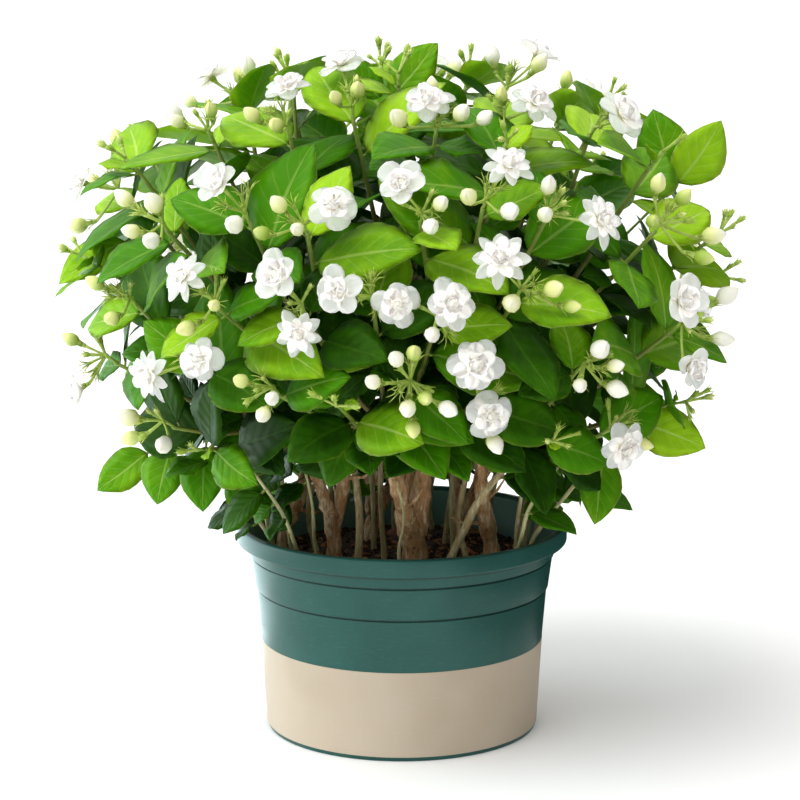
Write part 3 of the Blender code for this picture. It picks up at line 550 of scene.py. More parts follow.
def leaf_body(leaf: Leaf, thickness: float = BLADE, grow: float = 0.0) -> bmesh.types.BMesh:
    """A leaf on its short stalk: a blade folded at the midrib and arched, as a closed bmesh.

    Args:
        leaf: The leaf.
        thickness: Its thickness, in metres.
        grow: Metres that widen it.

    Returns:
        The leaf, which the caller frees.
    """
    place = frame_to(leaf.base, leaf.along, leaf.up)
    shares = [0.5 - 0.5 * math.cos(math.tau * step / LEAF_SIDES) for step in range(1, LEAF_SIDES // 2)]
    outline = [(share, 1) for share in shares] + [(1.0, 0)] + [(share, -1) for share in reversed(shares)]
    drop = thickness / 2
    top = [leaf_point(leaf, place, share, side, -drop, grow) for share, side in outline]
    bottom = [leaf_point(leaf, place, share, side, drop, grow) for share, side in outline]
    corners = [(PETIOLE_RADIUS * math.cos(turn), PETIOLE_RADIUS * math.sin(turn))
               for turn in (math.pi / 2, math.pi * 7 / 6, math.pi * 11 / 6)]
    mesh = bmesh.new()
    high = [mesh.verts.new(point) for point in top]
    low = [mesh.verts.new(point) for point in bottom]
    root = [mesh.verts.new(place @ Vector((x, 0, z))) for x, z in corners]
    neck = [mesh.verts.new(place @ Vector((x, PETIOLE, z))) for x, z in corners]
    crest, left, right = neck
    mesh.faces.new(root)
    bridge(mesh, root, neck)
    half = len(high) // 2
    for index in range(len(high) - 1):
        mesh.faces.new((high[index], high[index + 1], low[index + 1], low[index]))
    for side, corner in ((range(half), right), (range(len(high) - 1, half, -1), left)):
        edge = side[0]
        mesh.faces.new((crest, high[edge], high[half]))
        mesh.faces.new((corner, low[edge], low[half]))
        mesh.faces.new((crest, corner, low[edge], high[edge]))
        for index in side:
            step = 1 if index < half else -1
            if index + step != half:
                mesh.faces.new((high[index], high[index + step], high[half]))
                mesh.faces.new((low[index], low[index + step], low[half]))
    mesh.faces.new((left, right, low[half]))
    bmesh.ops.recalc_face_normals(mesh, faces=mesh.faces[:])
    return mesh


def bud_guard(bud: Bud) -> bmesh.types.BMesh:
    """The room that a bud needs, as a bmesh.

    Args:
        bud: The bud.

    Returns:
        The room, which the caller frees.
    """
    mesh = bmesh.new()
    bmesh.ops.create_uvsphere(mesh, u_segments=4, v_segments=3, radius=1.0)
    place = facing_frame(bud.centre, bud.facing)
    girth = bud.length * BUD_GIRTH * BUD_GUARD_GIRTH
    height = bud.length / 2 + BUD_GUARD_LIFT
    bmesh.ops.transform(mesh, matrix=place @ Matrix.Diagonal((girth, girth, height, 1.0)), verts=mesh.verts)
    return mesh


def head_guards(
    head: Head,
) -> tuple[list[bmesh.types.BMesh], list[bmesh.types.BMesh], list[bmesh.types.BMesh]]:
    """The room that a head needs: for its stalks, for its blooms and buds, and in front of those.

    Args:
        head: The flower head.

    Returns:
        Rooms of the stalks, of the flowers, and in front of them.
    """
    stalks = [cone_between(head.root, head.hub, *STALK_GUARD, 4)]
    flowers = []
    sights = []
    for bloom in head.blooms:
        neck = bloom.centre - bloom.facing * BLOOM_NECK
        stalks.append(cone_between(head.hub, neck, PEDICEL_GUARD, NECK_GUARD[0], 4))
        low = bloom.centre - bloom.facing * BLOOM_GUARD[0]
        high = bloom.centre + bloom.facing * BLOOM_GUARD[1]
        wide, narrow = (bloom.radius * share for share in BLOOM_GUARD_TAPER)
        flowers.append(cone_between(low, high, wide, narrow, 10))
        far = bloom.centre + bloom.facing * BLOOM_SIGHT
        sights.append(cone_between(high, far, narrow, narrow, 6))
    for bud in head.buds:
        base = bud.centre - bud.facing * bud.length * BUD_SEAT
        stalks.append(cone_between(head.hub, base, PEDICEL_GUARD, NECK_GUARD[1], 4))
        flowers.append(bud_guard(bud))
        far = bud.centre + bud.facing * BUD_SIGHT
        sights.append(cone_between(bud.centre, far, BUD_SIGHT_RADIUS, BUD_SIGHT_RADIUS, 4))
    return stalks, flowers, sights


def crossings(stalks: list[bmesh.types.BMesh], flowers: list[bmesh.types.BMesh], blooms: int) -> int:
    """How many times a head's own pieces cross: its flowers each other, and its blooms the other stalks.

    Args:
        stalks: Rooms of the stalks.
        flowers: Rooms of the flowers, the open ones first.
        blooms: How many are open.

    Returns:
        The count.
    """
    trees = [BVHTree.FromBMesh(flower) for flower in flowers]
    lines = [BVHTree.FromBMesh(stalk) for stalk in stalks[1:]]
    count = 0
    for index, tree in enumerate(trees):
        count += sum(1 for other in trees[index + 1:] if tree.overlap(other))
        if index < blooms:
            count += sum(1 for order, line in enumerate(lines) if order != index and tree.overlap(line))
    return count


def stem_guards(stem: Stem, spare: float = STEM_SPARE) -> list[bmesh.types.BMesh]:
    """Shapes that stand for a stem while other pieces are placed.

    Args:
        stem: The stem.
        spare: Metres round it.

    Returns:
        One room for each straight step.
    """
    guards = []
    for start, end, radius in zip(stem.points, stem.points[1:], stem.radii):
        guards.append(cone_between(start, end, radius + spare, radius + spare, 4))
    return guards


def branch_start(name: str) -> Vector:
    """Where a branch begins, at the end of its trunk.

    Args:
        name: The branch's name.

    Returns:
        The place, in metres.
    """
    azimuth = BRANCHES[name][0]
    reach, height = CROWN_START if "crown" in name else LOW_START if "low" in name else HIGH_START
    flat = aim(azimuth, 0)
    return Vector((flat.x * reach, flat.y * reach, height))


def branch_lean(name: str) -> Vector:
    """The direction, of length 1, in which the branch of a name leaves its trunk."""
    azimuth, elevation = BRANCHES[name]
    return (aim(azimuth, elevation) + Vector((0, 0, BRANCH_UPTURN))).normalized()


def trunk_stems(foot: tuple[float, float], radius: float, carried: tuple[str, ...]) -> list[Stem]:
    """The forked stems of one trunk: the first runs from the soil, the others leave it higher up.

    Args:
        foot: Where it leaves the soil, in millimetres.
        radius: Its thickness there, in millimetres.
        carried: The branches at its ends.

    Returns:
        The stems, the main one first.
    """
    ground = Vector((foot[0] * MM, foot[1] * MM, SOIL_TOP))
    stems = []
    for order, name in enumerate(carried):
        end = branch_start(name)
        lean = branch_lean(name)
        neck = end - lean * BRANCH_NECK
        fork = ground + Vector((0, 0, FORK_HEIGHT + FORK_STEP * order))
        bend = fork.lerp(neck, FORK_SHARE) - lean * FORK_BEND
        path = arc_points(fork, bend, neck, 3)
        if order == 0:
            path = [ground - Vector((0, 0, TRUNK_DEPTH))] + path
        path.append(end - lean * GAP)
        thin = radius * MM * (1.0 if order == 0 else FORK_THINNING)
        last = LIMB_RADIUS * TRUNK_END
        radii = [thin + (last - thin) * max(0.0, index - 1) / (len(path) - 2) for index in range(len(path))]
        stems.append(Stem(path, radii))
    return stems


def grow_head(
    index: int,
    bloom_aims: tuple[tuple[float, float], ...],
    bud_aims: tuple[tuple[float, float], ...],
    crowd: Crowd,
    rng: random.Random,
) -> Head:
    """Places one flower head clear of the others, each bloom and bud near its own aim.

    Args:
        index: Its order.
        bloom_aims: Azimuth and elevation of each bloom.
        bud_aims: Azimuth and elevation of each bud.
        crowd: What stands already.
        rng: The seeded draws.

    Returns:
        The head in its place.
    """
    middle = sum((aim(*pair) for pair in bloom_aims + bud_aims), Vector()).normalized()
    hub = canopy_point(middle, -HUB_DEPTH)
    lean = (middle * HEAD_LEAN[0] + Vector((0, 0, HEAD_LEAN[1]))).normalized()
    size = rng.uniform(*BLOOM_RADIUS)
    turns = [rng.uniform(0, math.tau) for _ in bloom_aims]
    lengths = [rng.uniform(*BUD_LENGTH) for _ in bud_aims]
    best = None
    for lift, shrink, spread in HEAD_OPTIONS:
        head = Head(f"flower_head_{index + 1:02d}", hub - lean * PEDUNCLE, lean, hub)
        for order, (pair, turn) in enumerate(zip(bloom_aims, turns)):
            outward = middle.lerp(aim(*pair), spread).normalized()
            spot = canopy_point(outward, (lift - BLOOM_SINK - BLOOM_STEP * order) * MM)
            away = (spot - hub).normalized() * BLOOM_LEAN[1]
            facing = (outward + Vector((0, 0, BLOOM_LEAN[0])) + away).normalized()
            head.blooms.append(Bloom(spot, facing, size * shrink * (1 - BLOOM_SHRINK * order), turn))
        for pair, length in zip(bud_aims, lengths):
            outward = middle.lerp(aim(*pair), spread).normalized()
            spot = canopy_point(outward, (lift - BUD_SINK) * MM)
            away = (spot - hub).normalized()
            facing = (outward * BUD_LEAN[0] + Vector((0, 0, BUD_LEAN[1])) + away).normalized()
            head.buds.append(Bud(spot, facing, length))
        stalks, flowers, sights = head_guards(head)
        cost = crossings(stalks, flowers, len(head.blooms))
        cost += TOUCH_COST * sum(1 for guard in stalks + flowers if crowd.touches(guard.copy()))
        if best is None or cost < best[0]:
            best = (cost, head, stalks + flowers, sights)
        if cost == 0:
            break
    head, guards, sights = best[1:]
    crowd.add(guards.pop(0), f"{head.name}.stalk")
    for guard in guards:
        crowd.add(guard, head.name)
    for sight in sights:
        crowd.add(sight, head.name, sight=True)
    return head


def back_head_aims(
    rng: random.Random,
) -> Iterator[tuple[tuple[tuple[float, float], ...], tuple[tuple[float, float], ...]]]:
    """Aims of the blooms and buds of the heads on the far side, spread by the golden ratio.

    Args:
        rng: The seeded draws.

    Returns:
        For each head, the aims of its blooms and of its buds.
    """
    for index in range(BACK_HEADS):
        azimuth = BACK_HEAD_START + BACK_HEAD_SWEEP * ((BACK_HEAD_PHASE + index * GOLDEN) % 1)
        elevation = BACK_HEAD_LOW + (BACK_HEAD_HIGH - BACK_HEAD_LOW) * index / (BACK_HEADS - 1)
        widen = 1 / math.cos(math.radians(elevation))
        blooms = [(azimuth, elevation)]
        if index in BACK_PAIRS:
            blooms.append((azimuth + BACK_PAIR_STEP * widen, elevation - rng.uniform(*BACK_PAIR_DROP)))
        buds = []
        for aside, up in BACK_BUDS if index % 3 == 1 else BACK_BUDS[:2]:
            buds.append((azimuth + rng.uniform(*aside) * widen, elevation + rng.uniform(*up)))
        yield tuple(blooms), tuple(buds)


def leafy_tip_aims() -> Iterator[tuple[float, float]]:
    """Aims of the tips that carry only leaves.

    Returns:
        Azimuth and elevation of each tip.
    """
    yield from FRONT_TIPS
    for index in range(BACK_TIPS):
        azimuth = BACK_HEAD_START + BACK_HEAD_SWEEP * ((BACK_TIP_PHASE + index * GOLDEN) % 1)
        elevation = BACK_TIP_LOW + (BACK_TIP_HIGH - BACK_TIP_LOW) * index / (BACK_TIPS - 1)
        yield azimuth, elevation


def nearest_branch(direction: Vector) -> str:
    """The name of the branch that grows most nearly in a direction from the middle of the bush."""
    return max(BRANCHES, key=lambda name: aim(*BRANCHES[name]).dot(direction))


def grow_shoot(
    branch: Branch,
    order: int,
    share: float,
    tip: Vector,
    lean: Vector,
    own: str,
    crowd: Crowd,
    rng: random.Random,
) -> Shoot | None:
    """Grows a shoot from its share of a branch's limb to a tip, bent clear of what is placed.

    Args:
        branch: The branch that it leaves.
        order: Its number on the branch.
        share: Where it leaves the limb.
        tip: Where it ends.
        lean: The way that it ends.
        own: The head that it carries.
        crowd: What stands already.
        rng: The seeded draws.

    Returns:
        The shoot, or None where it found no way.
    """
    start = branch.limb.points[-1].lerp(branch.limb.points[-2], share)
    neck = tip - lean * SHOOT_NECK
    reach = (neck - start).length
    sag = lean * reach * SHOOT_SAG[0] + Vector((0, 0, reach * SHOOT_SAG[1]))
    taper = SHOOT_RADIUS * SHOOT_TAPER
    for attempt in range(SHOOT_TRIES):
        sway = Vector((rng.uniform(-1, 1), rng.uniform(-1, 1), rng.uniform(-1, 1))) * attempt * SHOOT_SWAY
        path = arc_points(start, start.lerp(neck, 0.5) - sag + sway, neck, 2)
        stem = Stem(path + [tip], [taper, taper, SHOOT_RADIUS, SHOOT_RADIUS])
        guards = stem_guards(stem)
        last = guards.pop()
        clear = not crowd.touches(last, skip=(branch.name, f"{own}.stalk"))
        for guard in guards:
            clear = clear and not crowd.touches(guard.copy(), skip=(branch.name,))
        if clear:
            break
    for guard in stem_guards(stem, spare=SHOOT_SPARE):
        crowd.add(guard, f"{branch.name}_{order}.")
    return Shoot(stem) if clear else None


def along_path(points: list[Vector], distance: float) -> tuple[Vector, Vector] | None:
    """The point and the direction at a distance back from the end of a path.

    Args:
        points: The path.
        distance: Metres back from its end.

    Returns:
        The place and the direction, or None past the start.
    """
    for start, end in zip(reversed(points[:-1]), reversed(points[1:])):
        step = (end - start).length
        if distance <= step:
            return end.lerp(start, distance / step), (end - start).normalized()
        distance -= step
    return None


def leaf_fits(leaf: Leaf, own: str, crowd: Crowd) -> bool:
    """True if a leaf stays inside the bush's outline and clear of everything but its own stem.

    Args:
        leaf: The leaf.
        own: Its own shoot.
        crowd: What stands already.

    Returns:
        Whether it fits.
    """
    tip = leaf.base + leaf.along * leaf.length
    middle = leaf.base + leaf.along * leaf.length * 0.5
    if canopy_depth(tip) > CANOPY_REACH or canopy_depth(middle) > CANOPY_REACH:
        return False
    if tip.z < skirt_height(tip) or middle.z < skirt_height(middle):
        return False
    return not crowd.touches(leaf_body(leaf, 2 * LEAF_CLEAR, LEAF_CLEAR), skip=(own + ".",), heed_sight=True)


def grow_leaf(
    base: Vector,
    axis: Vector,
    side: Vector,
    node: int,
    own: str,
    crowd: Crowd,
    rng: random.Random,
) -> Leaf | None:
    """Finds a leaf for one side of a stem node, or None where there is no room.

    Args:
        base: Where it leaves the stem.
        axis: The stem's direction.
        side: The way out from the stem.
        node: How far down the stem.
        own: Its own shoot.
        crowd: What stands already.
        rng: The seeded draws.

    Returns:
        The leaf, or None.
    """
    outward = (base - CANOPY_CENTRE).normalized()
    length = rng.uniform(*LEAF_LENGTHS[node])
    slimness = rng.uniform(*LEAF_SLIMNESS)
    for attempt in range(LEAF_TRIES):
        twist = Matrix.Rotation(rng.uniform(-LEAF_TWIST, LEAF_TWIST) * (1 + attempt), 3, axis)
        rise = rng.uniform(*LEAF_RISE)
        along = ((twist @ side) * math.cos(rise) + axis * math.sin(rise)).normalized()
        up = outward * LEAF_UP[0] + Vector((0, 0, LEAF_UP[1])) + axis * LEAF_UP[2]
        up = (up - along * up.dot(along)).normalized()
        size = length * (1 - LEAF_SHRINK * attempt)
        leaf = Leaf(
            base=base,
            along=along,
            up=up,
            length=size,
            width=size * slimness,
            fold=math.radians(rng.uniform(*LEAF_FOLD)),
            arch=rng.uniform(*LEAF_ARCH),
        )
        if leaf_fits(leaf, own, crowd):
            return leaf
    return None


def grow_leaves(shoot: Shoot, own: str, crowd: Crowd, rng: random.Random) -> None:
    """Sets leaves in opposite pairs down a shoot, each pair turned a quarter from the last.

    Args:
        shoot: The shoot that gets them.
        own: The shoot's name.
        crowd: What stands already.
        rng: The seeded draws.
    """
    turn = rng.uniform(0, math.pi)
    for node in range(NODES_ON_SHOOT):
        spot = along_path(shoot.stem.points, FIRST_NODE + node * NODE_SPACING * rng.uniform(*NODE_VARIETY))
        if spot is None:
            return
        point, axis = spot
        for half in range(2):
            angle = turn + node * math.pi / 2 + half * math.pi
            side = (Matrix.Rotation(angle, 3, axis) @ axis.orthogonal()).normalized()
            base = point + axis * half * PAIR_STEP
            leaf = grow_leaf(base, axis, side, node, own, crowd, rng)
            if leaf:
                shoot.leaves.append(leaf)
                crowd.add(leaf_body(leaf), f"leaf of {own}")


def grow_bush() -> tuple[list[list[Stem]], list[Head], list[Branch], Crowd]:
    """Grows the whole bush by rule: trunks, flower heads, branches with their shoots, then the leaves.

    Returns:
        The trunks, the heads, the branches and what stands.
    """
    rng = random.Random(SEED)
    crowd = Crowd()
    low_end = Vector((0, 0, POT_HEIGHT - LIP_DEPTH))
    high_end = Vector((0, 0, POT_HEIGHT + POT_GUARD))
    reach = LIP_RADIUS + POT_GUARD
    crowd.add(cone_between(low_end, high_end, reach, reach, POT_STEPS), "pot")
    trunks = []
    for foot, radius, carried in TRUNKS:
        stems = trunk_stems(foot, radius, carried)
        trunks.append(stems)
        for stem in stems:
            for guard in stem_guards(Stem(stem.points[2:], stem.radii[2:])):
                crowd.add(guard, "trunk")
    heads = []
    for blooms, buds in list(FRONT_HEADS) + list(back_head_aims(rng)):
        heads.append(grow_head(len(heads), blooms, buds, crowd, rng))
    branches = {}
    for name in BRANCHES:
        start = branch_start(name)
        lean = branch_lean(name)
        limb = Stem([start, start + lean * BRANCH_NECK], [LIMB_RADIUS, LIMB_RADIUS])
        towards = canopy_point(aim(*BRANCHES[name]), -BRANCH_AIM_DEPTH) - limb.points[-1]
        limb.points.append(limb.points[-1] + towards.normalized() * LIMB_LENGTH)
        limb.radii.append(SHOOT_RADIUS * LIMB_END)
        branches[name] = Branch(name, limb)
        for guard in stem_guards(limb):
            crowd.add(guard, name)
    tips = [(head.root, head.lean, head.name) for head in heads]
    for pair in leafy_tip_aims():
        direction = aim(*pair)
        lean = (direction * TIP_LEAN[0] + Vector((0, 0, TIP_LEAN[1]))).normalized()
        tips.append((canopy_point(direction, -TIP_DEPTH), lean, "leafy tip"))
    grouped = {name: [] for name in BRANCHES}
    for tip, lean, own in tips:
        grouped[nearest_branch((tip - CANOPY_CENTRE).normalized())].append((tip, lean, own))
    for name, group in grouped.items():
        for order, (tip, lean, own) in enumerate(group):
            share = SHOOT_STARTS[0] + SHOOT_STARTS[1] * order / len(group)
            shoot = grow_shoot(branches[name], order, share, tip, lean, own, crowd, rng)
            if shoot:
                branches[name].shoots.append(shoot)
    for branch in branches.values():
        for order, shoot in enumerate(branch.shoots):
            grow_leaves(shoot, f"{branch.name}_{order}", crowd, rng)
    return trunks, heads, list(branches.values()), crowd


# Shaders

Socket = bpy.types.NodeSocket
Colour = tuple[float, float, float]
Value = float | int | tuple[float, ...] | Vector | bpy.types.NodeSocket


def linear(red: int, green: int, blue: int) -> Colour:
    """Turns a colour as seen on a screen, its parts from 0 to 255, into a shader's."""
    shares = [value / 255 for value in (red, green, blue)]
    return tuple(share / 12.92 if share <= 0.04045 else ((share + 0.055) / 1.055) ** 2.4 for share in shares)


class Recipe:
    """Builds a node tree step by step."""

    def __init__(self, tree: bpy.types.NodeTree) -> None:
        """Works on a material's or a group's node tree."""
        self.tree = tree

    def feed(self, socket: Socket, value: Value) -> None:
        """Links or sets an input.

        Args:
            socket: The input.
            value: An output to link, or the value to set.
        """
        if isinstance(value, bpy.types.NodeSocket):
            self.tree.links.new(value, socket)
        elif socket.type == "RGBA" and len(value) == 3:
            socket.default_value = (*value, 1.0)
        else:
            socket.default_value = value

    def dress(self, node: bpy.types.Node, inputs: dict[str | int, Value]) -> bpy.types.Node:
        """Links or sets several inputs of a node.

        Args:
            node: The node.
            inputs: Outputs to link or values to set, by the inputs' names or numbers.

        Returns:
            The node.
        """
        for name, value in inputs.items():
            self.feed(node.inputs[name], value)
        return node

    def node(
        self,
        kind: str,
        inputs: dict[str | int, Value] | None = None,
        **settings: object,
    ) -> bpy.types.Node:
        """Adds a node.

        Args:
            kind: Its type.
            inputs: Values or outputs for its inputs.
            **settings: Its own settings.

        Returns:
            The node.
        """
        made = self.tree.nodes.new(kind)
        for name, setting in settings.items():
            setattr(made, name, setting)
        return self.dress(made, inputs or {})

    def math(self, operation: str, *values: Value) -> Socket:
        """Adds a Math node with its inputs in order, and gives its output."""
        return self.node("ShaderNodeMath", dict(enumerate(values)), operation=operation).outputs[0]

    def mix(self, share: Value, first: Value, second: Value) -> Socket:
        """Mixes two colours, with a share of the second."""
        made = self.node("ShaderNodeMix", data_type="RGBA", blend_type="MIX")
        return self.dress(made, {0: share, 6: first, 7: second}).outputs[2]

    def fit(self, value: Value, low: Value, high: Value, start: Value = 0.0, end: Value = 1.0) -> Socket:
        """Maps a range smoothly onto another.

        Args:
            value: What is mapped.
            low: Where the range begins.
            high: Where it ends.
            start: The result at its beginning.
            end: The result at its end.

        Returns:
            The mapped value.
        """
        made = self.node("ShaderNodeMapRange", interpolation_type="SMOOTHSTEP")
        return self.dress(made, dict(enumerate((value, low, high, start, end)))).outputs[0]

    def noise(self, place: Socket, scale: Value, detail: float = 3.0, roughness: float = 0.55) -> Socket:
        """Adds a noise from about 0 to 1, by its scale per metre and its finer layers and their strength."""
        inputs = {"Vector": place, "Scale": scale, "Detail": detail, "Roughness": roughness}
        return self.node("ShaderNodeTexNoise", inputs).outputs[0]

    def place(self, stretch: tuple[float, float, float] = (1.0, 1.0, 1.0)) -> Socket:
        """Reads the object's own coordinates.

        Args:
            stretch: Their scale along each axis.

        Returns:
            The coordinates.
        """
        object_place = self.node("ShaderNodeTexCoord").outputs["Object"]
        if stretch == (1.0, 1.0, 1.0):
            return object_place
        return self.node("ShaderNodeMapping", {"Vector": object_place, "Scale": stretch}).outputs[0]

    def use(self, group: bpy.types.NodeTree, **inputs: float) -> bpy.types.Node:
        """Places a shared group with its own values."""
        return self.node("ShaderNodeGroup", inputs, node_tree=group)

    def form(self) -> tuple[Socket, Socket]:
        """Reads a repeat's own map.

        Returns:
            How far across or round, and how far along.
        """
        place = self.node("ShaderNodeUVMap", uv_map="form").outputs[0]
        split = self.node("ShaderNodeSeparateXYZ", {0: place})
        return split.outputs[0], split.outputs[1]

    def tone(self) -> Socket:
        """Reads how light or ripe each repeat is."""
        made = self.node("ShaderNodeAttribute", attribute_name="tone", attribute_type="GEOMETRY")
        return made.outputs["Fac"]

    def bump(self, height: Socket, distance: float, strength: float = 1.0) -> Socket:
        """Turns a height from 0 to 1 into a normal, over a distance in metres."""
        inputs = {"Height": height, "Distance": distance, "Strength": strength}
        return self.node("ShaderNodeBump", inputs).outputs[0]


def new_group(name: str, inputs: dict[str, float], outputs: tuple[str, ...]) -> bpy.types.NodeTree:
    """Starts a shader group with named value sockets.

    Args:
        name: The group's name.
        inputs: Each input and its usual value.
        outputs: The outputs.

    Returns:
        The group, with its two end nodes.
    """
    group = bpy.data.node_groups.new(name, "ShaderNodeTree")
    for title, value in inputs.items():
        socket = group.interface.new_socket(title, in_out="INPUT", socket_type="NodeSocketFloat")
        socket.default_value = value
    for title in outputs:
        group.interface.new_socket(title, in_out="OUTPUT", socket_type="NodeSocketFloat")
    group.nodes.new("NodeGroupInput")
    group.nodes.new("NodeGroupOutput")
    return group


@cache
def vein_group() -> bpy.types.NodeTree:
    """Makes the shared veins of a blade, read from its own map.

    Returns:
        The group.
    """
    inputs = {"Pairs": 6.0, "Sweep": 0.3, "Width": 0.1}
    group = new_group("blade veins", inputs, ("Veins", "Midrib", "Edge", "Rib"))
    recipe = Recipe(group)
    entry = group.nodes["Group Input"]
    across, along = recipe.form()
    side = recipe.math("ABSOLUTE", recipe.math("MULTIPLY_ADD", across, 2.0, -1.0))
    bow = recipe.math("MULTIPLY", recipe.math("POWER", side, 0.8), entry.outputs["Sweep"])
    phase = recipe.math("MULTIPLY", recipe.math("SUBTRACT", along, bow), entry.outputs["Pairs"])
    near = recipe.math("ABSOLUTE", recipe.math("SUBTRACT", recipe.math("FRACT", phase), 0.5))
    line = recipe.fit(near, 0.0, entry.outputs["Width"], 1.0, 0.0)
    fade = recipe.fit(side, 0.55, 0.95, 1.0, 0.0)
    rib_width = recipe.math("MULTIPLY_ADD", along, -0.05, 0.1)
    recipe.dress(group.nodes["Group Output"], {
        "Veins": recipe.math("MULTIPLY", line, fade),
        "Midrib": recipe.fit(side, recipe.math("MULTIPLY", rib_width, 0.3), rib_width, 1.0, 0.0),
        "Edge": recipe.fit(side, 0.9, 0.99),
        "Rib": recipe.math("COSINE", recipe.math("MULTIPLY", phase, math.tau)),
    })
    return group


@cache
def mottle_group() -> bpy.types.NodeTree:
    """Makes the shared soft uneven patches with fine grain on them.

    Returns:
        The group.
    """
    group = new_group("mottle", {"Scale": 60.0, "Grain": 700.0, "Share": 0.3}, ("Patches", "Grain"))
    recipe = Recipe(group)
    entry = group.nodes["Group Input"]
    place = recipe.place()
    patches = recipe.noise(place, entry.outputs["Scale"], 2.0)
    grain = recipe.noise(place, entry.outputs["Grain"], 2.0)
    uneven = recipe.math("SUBTRACT", grain, 0.5)
    mixed = recipe.math("MULTIPLY_ADD", uneven, entry.outputs["Share"], patches)
    recipe.dress(group.nodes["Group Output"], {"Patches": mixed, "Grain": grain})
    return group


@dataclass(frozen=True)
class Finish:
    """The looks of one material."""

    name: str

    def inputs(self, recipe: Recipe) -> dict[str, Value]:
        """Builds the nodes, and gives what the shader's inputs get."""
        raise NotImplementedError

    def make(self) -> bpy.types.Material:
        """Builds the material.

        Returns:
            The material.
        """
        material = bpy.data.materials.new(self.name)
        material.use_nodes = True
        recipe = Recipe(material.node_tree)
        recipe.dress(material.node_tree.nodes["Principled BSDF"], self.inputs(recipe))
        return material


@dataclass(frozen=True)
class LeafFinish(Finish):
    """The waxy skin of a leaf, from deep green to yellow-green by its tone, which holds painted shade and
    light: deep green inside the bush and yellow-green outside.
    """

    name: str = "leaf skin"
    deep: Colour = linear(24, 56, 4)
    middle: Colour = linear(66, 128, 4)
    bright: Colour = linear(156, 200, 30)
    vein: Colour = linear(190, 214, 116)
    vein_share: float = 0.42
    least_vein: float = 0.12
    side_vein_share: float = 0.4
    edge_share: float = 0.22
    unevenness: float = 0.4
    relief: float = 0.6 * MM
    roughness: float = 0.44
    shine: float = 0.24
    gloss: Colour = linear(180, 232, 128)
    glow: float = 0.14

    def inputs(self, recipe: Recipe) -> dict[str, Value]:
        """Builds the nodes.

        Args:
            recipe: The material's node tree.

        Returns:
            What the shader's inputs get.
        """
        veins = recipe.use(vein_group(), Pairs=6.0, Sweep=0.34, Width=0.09)
        mottle = recipe.use(mottle_group(), Scale=45.0, Grain=420.0, Share=0.25)
        uneven = recipe.math("SUBTRACT", mottle.outputs["Patches"], 0.5)
        # The tone carries the painted shade and light from Foliage.tone and picks the leaf's green.
        patch = recipe.math("MULTIPLY_ADD", uneven, self.unevenness, recipe.tone())
        low = recipe.mix(recipe.fit(patch, 0.0, 0.5), self.deep, self.middle)
        blade = recipe.mix(recipe.fit(patch, 0.45, 1.0), low, self.bright)
        side_veins = recipe.math("MULTIPLY", veins.outputs["Veins"], self.side_vein_share)
        lines = recipe.math("MAXIMUM", side_veins, veins.outputs["Midrib"])
        pallor = recipe.math("MULTIPLY_ADD", recipe.tone(), self.vein_share, self.least_vein)
        edge = recipe.math("MULTIPLY", veins.outputs["Edge"], self.edge_share)
        pale = recipe.mix(recipe.fit(patch, 0.0, 0.7), self.middle, self.vein)
        shown = recipe.math("MAXIMUM", recipe.math("MULTIPLY", lines, pallor), edge)
        grain = mottle.outputs["Grain"]
        height = recipe.math("MULTIPLY_ADD", veins.outputs["Rib"], 0.22, recipe.math("MULTIPLY", grain, 0.3))
        height = recipe.math("SUBTRACT", height, recipe.math("MULTIPLY", veins.outputs["Midrib"], 0.5))
        return {
            "Base Color": recipe.mix(shown, blade, pale),
            "Roughness": recipe.math("MULTIPLY_ADD", grain, 0.16, self.roughness - 0.08),
            "Normal": recipe.bump(height, self.relief, 0.7),
            "Specular IOR Level": self.shine,
            "Specular Tint": self.gloss,
            "Subsurface Weight": self.glow,
            "Subsurface Radius": (0.6, 1.0, 0.15),
            "Subsurface Scale": 2 * MM,
        }


@dataclass(frozen=True)
class StalkFinish(Finish):
    """Green skin of shoots and stalks, browner where it is old."""

    young: Colour
    old: Colour
    roughness: float = 0.55

    def inputs(self, recipe: Recipe) -> dict[str, Value]:
        """Builds the nodes.

        Args:
            recipe: The material's node tree.

        Returns:
            What the shader's inputs get.
        """
        mottle = recipe.use(mottle_group(), Scale=140.0, Grain=900.0, Share=0.5)
        uneven = recipe.math("SUBTRACT", mottle.outputs["Patches"], 0.5)
        share = recipe.math("MULTIPLY_ADD", uneven, 0.7, recipe.tone())
        return {
            "Base Color": recipe.mix(recipe.fit(share, 0.1, 0.9), self.old, self.young),
            "Roughness": recipe.math("MULTIPLY_ADD", mottle.outputs["Grain"], 0.2, self.roughness - 0.1),
            "Normal": recipe.bump(mottle.outputs["Grain"], 0.3 * MM, 0.6),
        }


